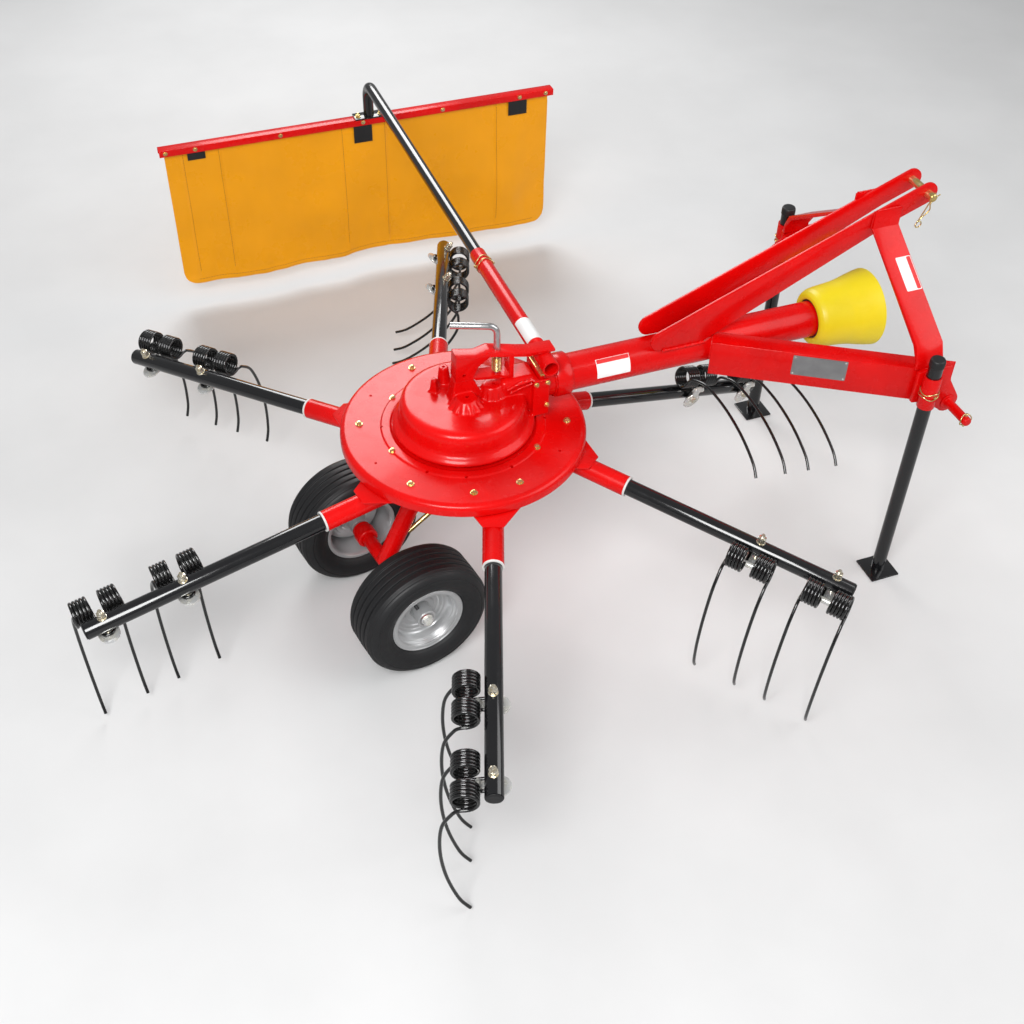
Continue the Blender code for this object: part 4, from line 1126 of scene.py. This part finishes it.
def make_boom():
    sleeve = ring_of("boom_sleeve_tube", 0.0252, 0.0204, -0.068, 0.558, 56, 0.001,
                     along_y(BOOM_X, 0, BOOM_Z))
    set_down(sleeve, "red", "boom_sleeve")
    line = [(BOOM_X, y, BOOM_Z) for y in (0.02, 0.3, 0.9, 1.4, 1.7)]
    for angle in range(0, 91, 9):
        turn = radians(90.0 - angle)
        line.append((BOOM_X, 1.74 + 0.06 * cos(turn), BOOM_Z - 0.06 + 0.06 * sin(turn)))
    line.append((BOOM_X, CURTAIN_Y, 0.694))
    boom = rod("boom_tube", line, 0.0199, 40)
    foot = block("boom_foot", (-0.06, 1.774, 0.6885), (0.06, 1.826, 0.6945), 0.0012,
                 at(BOOM_X, 0, 0))
    piece = joined("boom_painted", [boom, foot])
    set_down(piece, "black", "curtain_boom", body="curtain_set")


def swell(x, low, high, edge=0.004):
    """0 outside a stretch and 1 inside it, with soft steps."""
    rise = min(1.0, max(0, (x - low) / edge + 0.5))
    fall = min(1.0, max(0, (high - x) / edge + 0.5))
    return min(rise, fall)


def hang(x, z, sag):
    """Where the curtain's middle lies in depth: bulges, wrinkles and pockets."""
    loose = max(0, min(1.0, (CURTAIN_TOP - z) / (CURTAIN_TOP - CURTAIN_LOW)))
    broad = (sin(x * 6.2 - 0.4) * 0.75 + sin(x * 11.5 + 2.1 + z * 2.2) * 0.35
             + sin(x * 3.1 + 1.2 + z * 1.4) * 0.45)
    fine = field.noise((x * 4.5, z * 3.2, 1.7)) * 1.3 + field.noise((x * 10.0, z * 6.5, 5.3)) * 0.8
    fine += field.noise((x * 24.0, z * 12.0, 9.1)) * 0.2
    depth = sag * (loose ** 0.8 * broad + (0.15 + 0.85 * loose ** 0.6) * fine)
    pocket = max(swell(x, left, right) for left, right in CURTAIN_POCKETS)
    pocket *= swell(z, CURTAIN_LOW, CURTAIN_TOP - 0.045)
    hem = swell(z, CURTAIN_LOW, CURTAIN_LOW + 0.026)
    return CURTAIN_Y + depth - 0.0034 * max(pocket, hem)


def make_cloth():
    sizes = bpy.context.scene.rake_sizes
    left, right = CURTAIN_X
    high, low = CURTAIN_TOP, CURTAIN_LOW
    wide, tall = right - left, high - low
    settle()
    bpy.ops.mesh.primitive_grid_add(x_subdivisions=330, y_subdivisions=110, size=1.0)
    cloth = bpy.context.object
    cloth.name = "curtain_cloth"
    corner = 0.05
    for vertex in cloth.data.vertices:
        x, z = left + wide * (vertex.co.x + 0.5), low + tall * (vertex.co.y + 0.5)
        for centre in (left + corner, right - corner):
            outside = (x - centre) * (-1.0 if centre < 0 else 1.0)
            if outside > 0.0 and z < low + corner:
                share = min(1.0, outside / corner)
                z = max(z, low + corner - corner * sqrt(max(0, 1.0 - share * share)))
        vertex.co = (x, hang(x, z, sizes.sag), z)
    smoothed(applied(cloth, "SOLIDIFY", thickness=0.0016, offset=0.0), 60.0)
    set_down(cloth, "canvas", "curtain", body="curtain_set")


def seam(start, stop, count):
    """Thread that dips in and out of the cloth between two (x, z) points."""
    sag = bpy.context.scene.rake_sizes.sag
    line = []
    for step in range(count):
        x, z = (a + (b - a) * step / (count - 1) for a, b in zip(start, stop))
        line.append((x, hang(x, z, sag) - THREAD_R + THREAD_R * sin(step * 0.9), z))
    return rod("seam", line, THREAD_R, 4)


def make_stitches():
    """Seams beside the pockets and over the hem."""
    left, right = CURTAIN_X
    seams = [seam((x, 0.14), (x, 0.655), 360) for low, high in CURTAIN_POCKETS
             for x in (low + 0.006, high - 0.006) if left + 0.012 < x < right - 0.012]
    hem = CURTAIN_LOW + 0.02
    seams.append(seam((-0.496, hem), (0.932, hem), 900))
    set_down(joined("curtain_seams", seams), "thread", body="curtain_set")


def make_curtain():
    sizes = bpy.context.scene.rake_sizes
    bar = refined("curtain_bar", "curtain_channel", 0.001)
    set_down(bar, "red", "curtain_bar", body="curtain_set")
    make_cloth()
    make_stitches()

    tabs = []
    for low, high, bottom in ((-0.464, -0.397, 0.626), (0.177, 0.25, 0.587), (0.814, 0.892, 0.598)):
        y = min(hang(x, z, sizes.sag)
                for x in (low, (low + high) / 2, high) for z in (bottom, 0.655))
        tabs.append(block("tab", (low, y - 0.0052, bottom), (high, y - 0.003, 0.674), 0.0008))
    set_down(joined("curtain_tabs", tabs), "cap", body="curtain_set")

    model = joined("bar_bolt_model", [
        ring_of("bar_washer", 0.0085, 0.003, 0, 0.0016, 28, 0.0005),
        hexagon("bar_head", 0.0115, 0.0016, 0.0066)])
    bolts = stamped(model, "bar_bolt", [
        at(x, 1.78, 0.676) @ about("X", pi / 2.0) @ about("Z", x * 31.0)
        for x in (-0.5436, -0.433, -0.1104, 0.2136, 0.5357, 0.8574, 0.9684)])
    model = nut_stack("foot_nut_model", 0.016, 0.0115, 0.005, (0.0075,), 0.0065)
    bolts += stamped(model, "foot_nut", [at(x, 1.794, 0.6945) @ about("Z", x * 9.0)
                                         for x in (BOOM_X - 0.045, BOOM_X + 0.045)])
    set_down(joined("curtain_bolts", bolts), "gold", body="curtain_set")


# Running gear

def castor_place():
    return about("Z", radians(CASTOR_YAW))


def make_castor():
    place = castor_place()
    low, high = 0.3895, 0.449
    hub = ring_of("castor_hub", 0.056, 0.0304, low, high, 72, 0.002)
    line = [(-0.046, 0, 0.419), (-0.13, 0, 0.419)]
    line += [(-0.15, 0, 0.4175), (-0.166, 0, 0.411), (-0.178, 0, 0.399),
             (-0.186, 0, 0.384), (-0.276, 0, 0.208), (-0.28, 0, 0.2)]
    leg = rod("castor_leg", line, 0.027, 32)
    outline = [(0.0, -0.2865), (0.0125, -0.2865), (0.0125, -0.1645), (0.022, -0.1645),
               (0.022, 0.1645), (0.0125, 0.1645), (0.0125, 0.2865), (0.0, 0.2865)]
    axle = spun("castor_axle", eased(outline, 0.001), 48, place=along_y(-WHEEL_TRAIL, 0, WHEEL_R))
    outline = [(0.0215, 0.11), (0.029, 0.11), (0.0335, 0.114), (0.0335, 0.148), (0.03, 0.151),
               (0.03, 0.1644), (0.0215, 0.1644)]
    bosses = [spun("axle_boss", eased(outline, 0.002, True), 56, True,
                   at(-WHEEL_TRAIL, 0, WHEEL_R) @ about("X", -side * pi / 2.0))
              for side, tag in SIDES]
    piece = joined("castor_painted", [hub, leg, axle] + bosses)
    moved(piece, place)
    set_down(piece, "red", "castor_frame", body="castor")
    points = [(-0.0515, 0, 0.389), (-0.0515, 0, 0.376), (-0.06, 0, 0.366),
              (-0.1965, 0, 0.287)]
    link = rod("castor_brace", points, 0.008, 20, place)
    set_down(link, "gold", "castor_link", body="castor")


def tyre_outline():
    seat, bead_r = 0.1044, 0.118
    right = [
        (bead_r, 0.06), (0.124, 0.067), (0.135, 0.0745), (0.146, 0.0785), (0.158, 0.08),
        (0.168, 0.0795), (0.17, 0.0775), (0.174, 0.079), (0.182, 0.0745), (0.188, 0.07),
        (0.1905, 0.0655), (0.194, 0.064), (0.1965, 0.058),
    ]
    crown = []
    for middle in (0.047, 0.0235, 0, -0.0235, -0.047):
        worn = abs(middle) * 0.02
        crown += [(0.1985 - worn, middle + 0.0085), (0.1995 - worn, middle + 0.0078),
                  (0.1995 - worn, middle - 0.0078), (0.1985 - worn, middle - 0.0085)]
        if middle > -0.04:
            crown += [(0.1935, middle - 0.01), (0.1935, middle - 0.0136)]
    left = [(a, -b) for a, b in reversed(right)]
    return [(seat, 0.0575)] + right + crown + left + [(seat, -0.0575)]


def rim_outline():
    """A pressed rim: flange, three steps, the deep dish and the hub's seat (outward is +)."""
    return [
        (0.0995, 0.057), (0.104, 0.057), (0.1155, 0.0585), (0.1165, 0.06), (0.115, 0.062),
        (0.1122, 0.062), (0.109, 0.0575), (0.1058, 0.056), (0.103, 0.049), (0.0998, 0.0476),
        (0.097, 0.04), (0.0938, 0.0386), (0.0912, 0.029), (0.0895, 0.016), (0.085, 0.0108),
        (0.079, 0.0096), (0.0755, 0.0062), (0.066, 0.005), (0.063, 0.0015), (0.05, 0),
        (0.0455, 0.004), (0.034, 0.005), (0.031, 0.006),
    ]


def make_wheels():
    for side, tag in SIDES:
        flip = Matrix.Identity(4) if side > 0 else about("X", pi)
        place = (castor_place() @ at(-WHEEL_TRAIL, side * WHEEL_TRACK, WHEEL_R)
                 @ about("X", -pi / 2.0) @ flip)
        body = "wheel_" + tag
        tyre = spun("tyre_tread_" + tag, eased(tyre_outline(), 0.0012, True, 2), 144, True, place)
        set_down(tyre, "rubber", "tyre_" + tag, body=body)
        dish = spun("rim_dish", eased(rim_outline(), 0.0014), 120, place=place)
        applied(dish, "SOLIDIFY", thickness=0.0024, offset=-1.0)
        barrel = [(0.1038, -0.057), (0.1038, 0.0455), (0.101, 0.0455), (0.101, -0.052),
                  (0.106, -0.0618), (0.115, -0.0618), (0.1165, -0.06), (0.115, -0.058)]
        barrel = spun("rim_barrel", eased(barrel, 0.0015, True), 120, True, place)
        hub = [(0.013, -0.052), (0.03, -0.052), (0.03, 0.052), (0.0225, 0.052), (0.0225, 0.047),
               (0.013, 0.047)]
        hub = spun("rim_hub", eased(hub, 0.0012, True), 64, True, place)
        wheel = joined("rim_pressed_" + tag, [dish, barrel, hub])
        set_down(wheel, "silver", "rim_" + tag, body=body)
        dome = [(0, 0.065), (0.0135, 0.065), (0.013, 0.0685), (0.0095, 0.0715), (0, 0.073)]
        parts = [ring_of("axle_washer", 0.019, 0.0128, 0.0524, 0.0545, 48, 0.0005),
                 hexagon("axle_nut", 0.03, 0.0545, 0.066),
                 spun("axle_dome", dome, 40)]
        nut = moved(joined("axle_nut_" + tag, parts), place)
        set_down(nut, "zinc", body="castor")
        outline = [(0, 0), (0.0075, 0), (0.006, 0.008), (0.005, 0.026), (0.0055, 0.028),
                   (0.0055, 0.038), (0, 0.038)]
        stem = spun("valve_stem_" + tag, eased(outline, 0.001), 24)
        lean = about("Z", radians(115.0)) @ at(0.0925, 0, 0.026)
        lean = lean @ about("Y", radians(-38.0))
        moved(stem, place @ lean)
        set_down(stem, "cap", body=body)


# Stage

def make_stage():
    settle()
    bpy.ops.mesh.primitive_plane_add(size=60.0, location=(0, 0, 0))
    floor = bpy.context.object
    floor.name = "studio_floor"
    made, tree, shader = fresh("pale_floor")
    tone = tinted(tree, shader, noise(tree, 1.5), (0.64, 0.64, 0.64), (0.68, 0.68, 0.68))
    path = tree.nodes.new("ShaderNodeLightPath")
    dim = tree.nodes.new("ShaderNodeMix")
    dim.data_type = "RGBA"
    dim.inputs["B"].default_value = (0.34, 0.34, 0.34, 1.0)
    tree.links.new(path.outputs["Is Glossy Ray"], dim.inputs["Factor"])
    tree.links.new(tone, dim.inputs["A"])
    tree.links.new(dim.outputs["Result"], shader.inputs["Base Color"])
    shader.inputs["Roughness"].default_value = 0.85
    floor.data.materials.append(made)

    for name, size, energy, place, aim in (
            ("key_softbox", 2.4, 245.0, (-2.2, -3.6, 4.2), (0, 0, 0.5)),
            ("fill_softbox", 3.6, 90.0, (3.6, -2.4, 3.4), (0.2, -0.2, 0.5)),
            ("rim_softbox", 2.6, 150.0, (0.5, 4.4, 3.8), (0, 0.2, 0.5))):
        light = bpy.data.lights.new(name, "AREA")
        light.shape = "SQUARE"
        light.size = size
        light.energy = energy
        lamp = bpy.data.objects.new(name, light)
        lamp.location = place
        lamp.rotation_euler = (Vector(aim) - Vector(place)).to_track_quat("-Z", "Y").to_euler()
        bpy.context.collection.objects.link(lamp)

    world = bpy.data.worlds.new("studio")
    world.use_nodes = True
    sky = world.node_tree.nodes["Background"]
    sky.inputs["Color"].default_value = (0.86, 0.87, 0.88, 1.0)
    path = world.node_tree.nodes.new("ShaderNodeLightPath")
    fade = added(world.node_tree, "MapRange", To_Min=0.44, To_Max=0.3)
    world.node_tree.links.new(path.outputs["Is Glossy Ray"], fade.inputs["Value"])
    world.node_tree.links.new(fade.outputs["Result"], sky.inputs["Strength"])
    bpy.context.scene.world = world
    bpy.context.scene.view_settings.view_transform = "Standard"

    lens = bpy.data.cameras.new("photo_camera")
    lens.sensor_width = 36.0
    lens.lens = 47.494
    lens.clip_end = 200.0
    camera = bpy.data.objects.new("photo_camera", lens)
    camera.location = (-1.1185, -3.2136, 3.1911)
    camera.rotation_euler = Euler((radians(46.2718), radians(-1.0592),
                                   radians(-20.7175)), "XYZ")
    bpy.context.collection.objects.link(camera)
    bpy.context.scene.camera = camera


# Operators and panel

def done(*steps):
    for step in steps:
        step()
    return {"FINISHED"}


class RAKE_OT_finishes(bpy.types.Operator):
    """Mix the enamels, platings, rubber and canvas"""
    bl_idname = "rake.finishes"
    bl_label = "Finishes"

    def execute(self, context):
        return done(mix_finishes)


class RAKE_OT_rotor(bpy.types.Operator):
    """Spin the rotor disc and its pan, drill it and bolt the sockets on"""
    bl_idname = "rake.rotor"
    bl_label = "Rotor"

    def execute(self, context):
        return done(make_disc, make_disc_bolts, make_sockets)


class RAKE_OT_arms(bpy.types.Operator):
    """Draw the tine arms, wind the double tines and clamp them on"""
    bl_idname = "rake.arms"
    bl_label = "Arms and Tines"

    def execute(self, context):
        return done(make_arms, make_tines, make_clamps)


class RAKE_OT_head(bpy.types.Operator):
    """Cast the gear head and make its fittings, bracket and crank"""
    bl_idname = "rake.head"
    bl_label = "Gear Head"

    def execute(self, context):
        return done(make_head, make_head_fittings, make_bracket_and_crank)


class RAKE_OT_headstock(bpy.types.Operator):
    """Make the drawbar, fork, rails, straps, pins, guard and drive end"""
    bl_idname = "rake.headstock"
    bl_label = "Headstock"

    def execute(self, context):
        return done(make_drawbar, make_headstock, make_pins, make_guard, make_drive_end)


class RAKE_OT_labels(bpy.types.Operator):
    """Lay the blank labels and the riveted data plate on"""
    bl_idname = "rake.labels"
    bl_label = "Labels"

    def execute(self, context):
        return done(make_labels)


class RAKE_OT_clips(bpy.types.Operator):
    """Bend the spring clips and linch pins"""
    bl_idname = "rake.clips"
    bl_label = "Clips and Linch Pins"

    def execute(self, context):
        return done(make_clips)


class RAKE_OT_stands(bpy.types.Operator):
    """Make the parking stands with their sleeves, feet and caps"""
    bl_idname = "rake.stands"
    bl_label = "Parking Stands"

    def execute(self, context):
        return done(make_sleeves_and_stands)


class RAKE_OT_curtain(bpy.types.Operator):
    """Bend the boom and hang the swath curtain from its channel"""
    bl_idname = "rake.curtain"
    bl_label = "Boom and Curtain"

    def execute(self, context):
        return done(make_boom, make_curtain)


class RAKE_OT_running_gear(bpy.types.Operator):
    """Make the castor frame and its two wheels"""
    bl_idname = "rake.running_gear"
    bl_label = "Running Gear"

    def execute(self, context):
        return done(make_castor, make_wheels)


class RAKE_OT_stage(bpy.types.Operator):
    """Lay the floor and set the lamps and the camera"""
    bl_idname = "rake.stage"
    bl_label = "Stage"

    def execute(self, context):
        return done(make_stage)


OPERATORS = (
    RAKE_OT_finishes, RAKE_OT_rotor, RAKE_OT_arms, RAKE_OT_head, RAKE_OT_headstock,
    RAKE_OT_labels, RAKE_OT_clips, RAKE_OT_stands, RAKE_OT_curtain, RAKE_OT_running_gear,
    RAKE_OT_stage,
)


class RAKE_PT_panel(bpy.types.Panel):
    """Lists the rake's settings and pieces"""
    bl_idname = "RAKE_PT_panel"
    bl_label = "Hay Rake"
    bl_space_type = "VIEW_3D"
    bl_region_type = "UI"
    bl_category = "Hay Rake"

    def draw(self, context):
        column = self.layout.column(align=True)
        for group in (context.scene.rake_paint, context.scene.rake_sizes):
            for key in group.bl_rna.properties.keys():
                if key not in ("rna_type", "name"):
                    column.prop(group, key)
        column.separator()
        for operator in OPERATORS:
            column.operator(operator.bl_idname)


CLASSES = (RakePaint, RakeSizes) + OPERATORS + (RAKE_PT_panel,)


def register():
    for made in CLASSES:
        bpy.utils.register_class(made)
    bpy.types.Scene.rake_paint = bpy.props.PointerProperty(type=RakePaint)
    bpy.types.Scene.rake_sizes = bpy.props.PointerProperty(type=RakeSizes)


def unregister():
    del bpy.types.Scene.rake_sizes
    del bpy.types.Scene.rake_paint
    for made in reversed(CLASSES):
        bpy.utils.unregister_class(made)


def main():
    register()
    bpy.ops.rake.stage()
    bpy.ops.rake.finishes()
    bpy.ops.rake.rotor()
    bpy.ops.rake.arms()
    bpy.ops.rake.head()
    bpy.ops.rake.headstock()
    bpy.ops.rake.labels()
    bpy.ops.rake.clips()
    bpy.ops.rake.stands()
    bpy.ops.rake.curtain()
    bpy.ops.rake.running_gear()


if __name__ == "__main__":
    main()
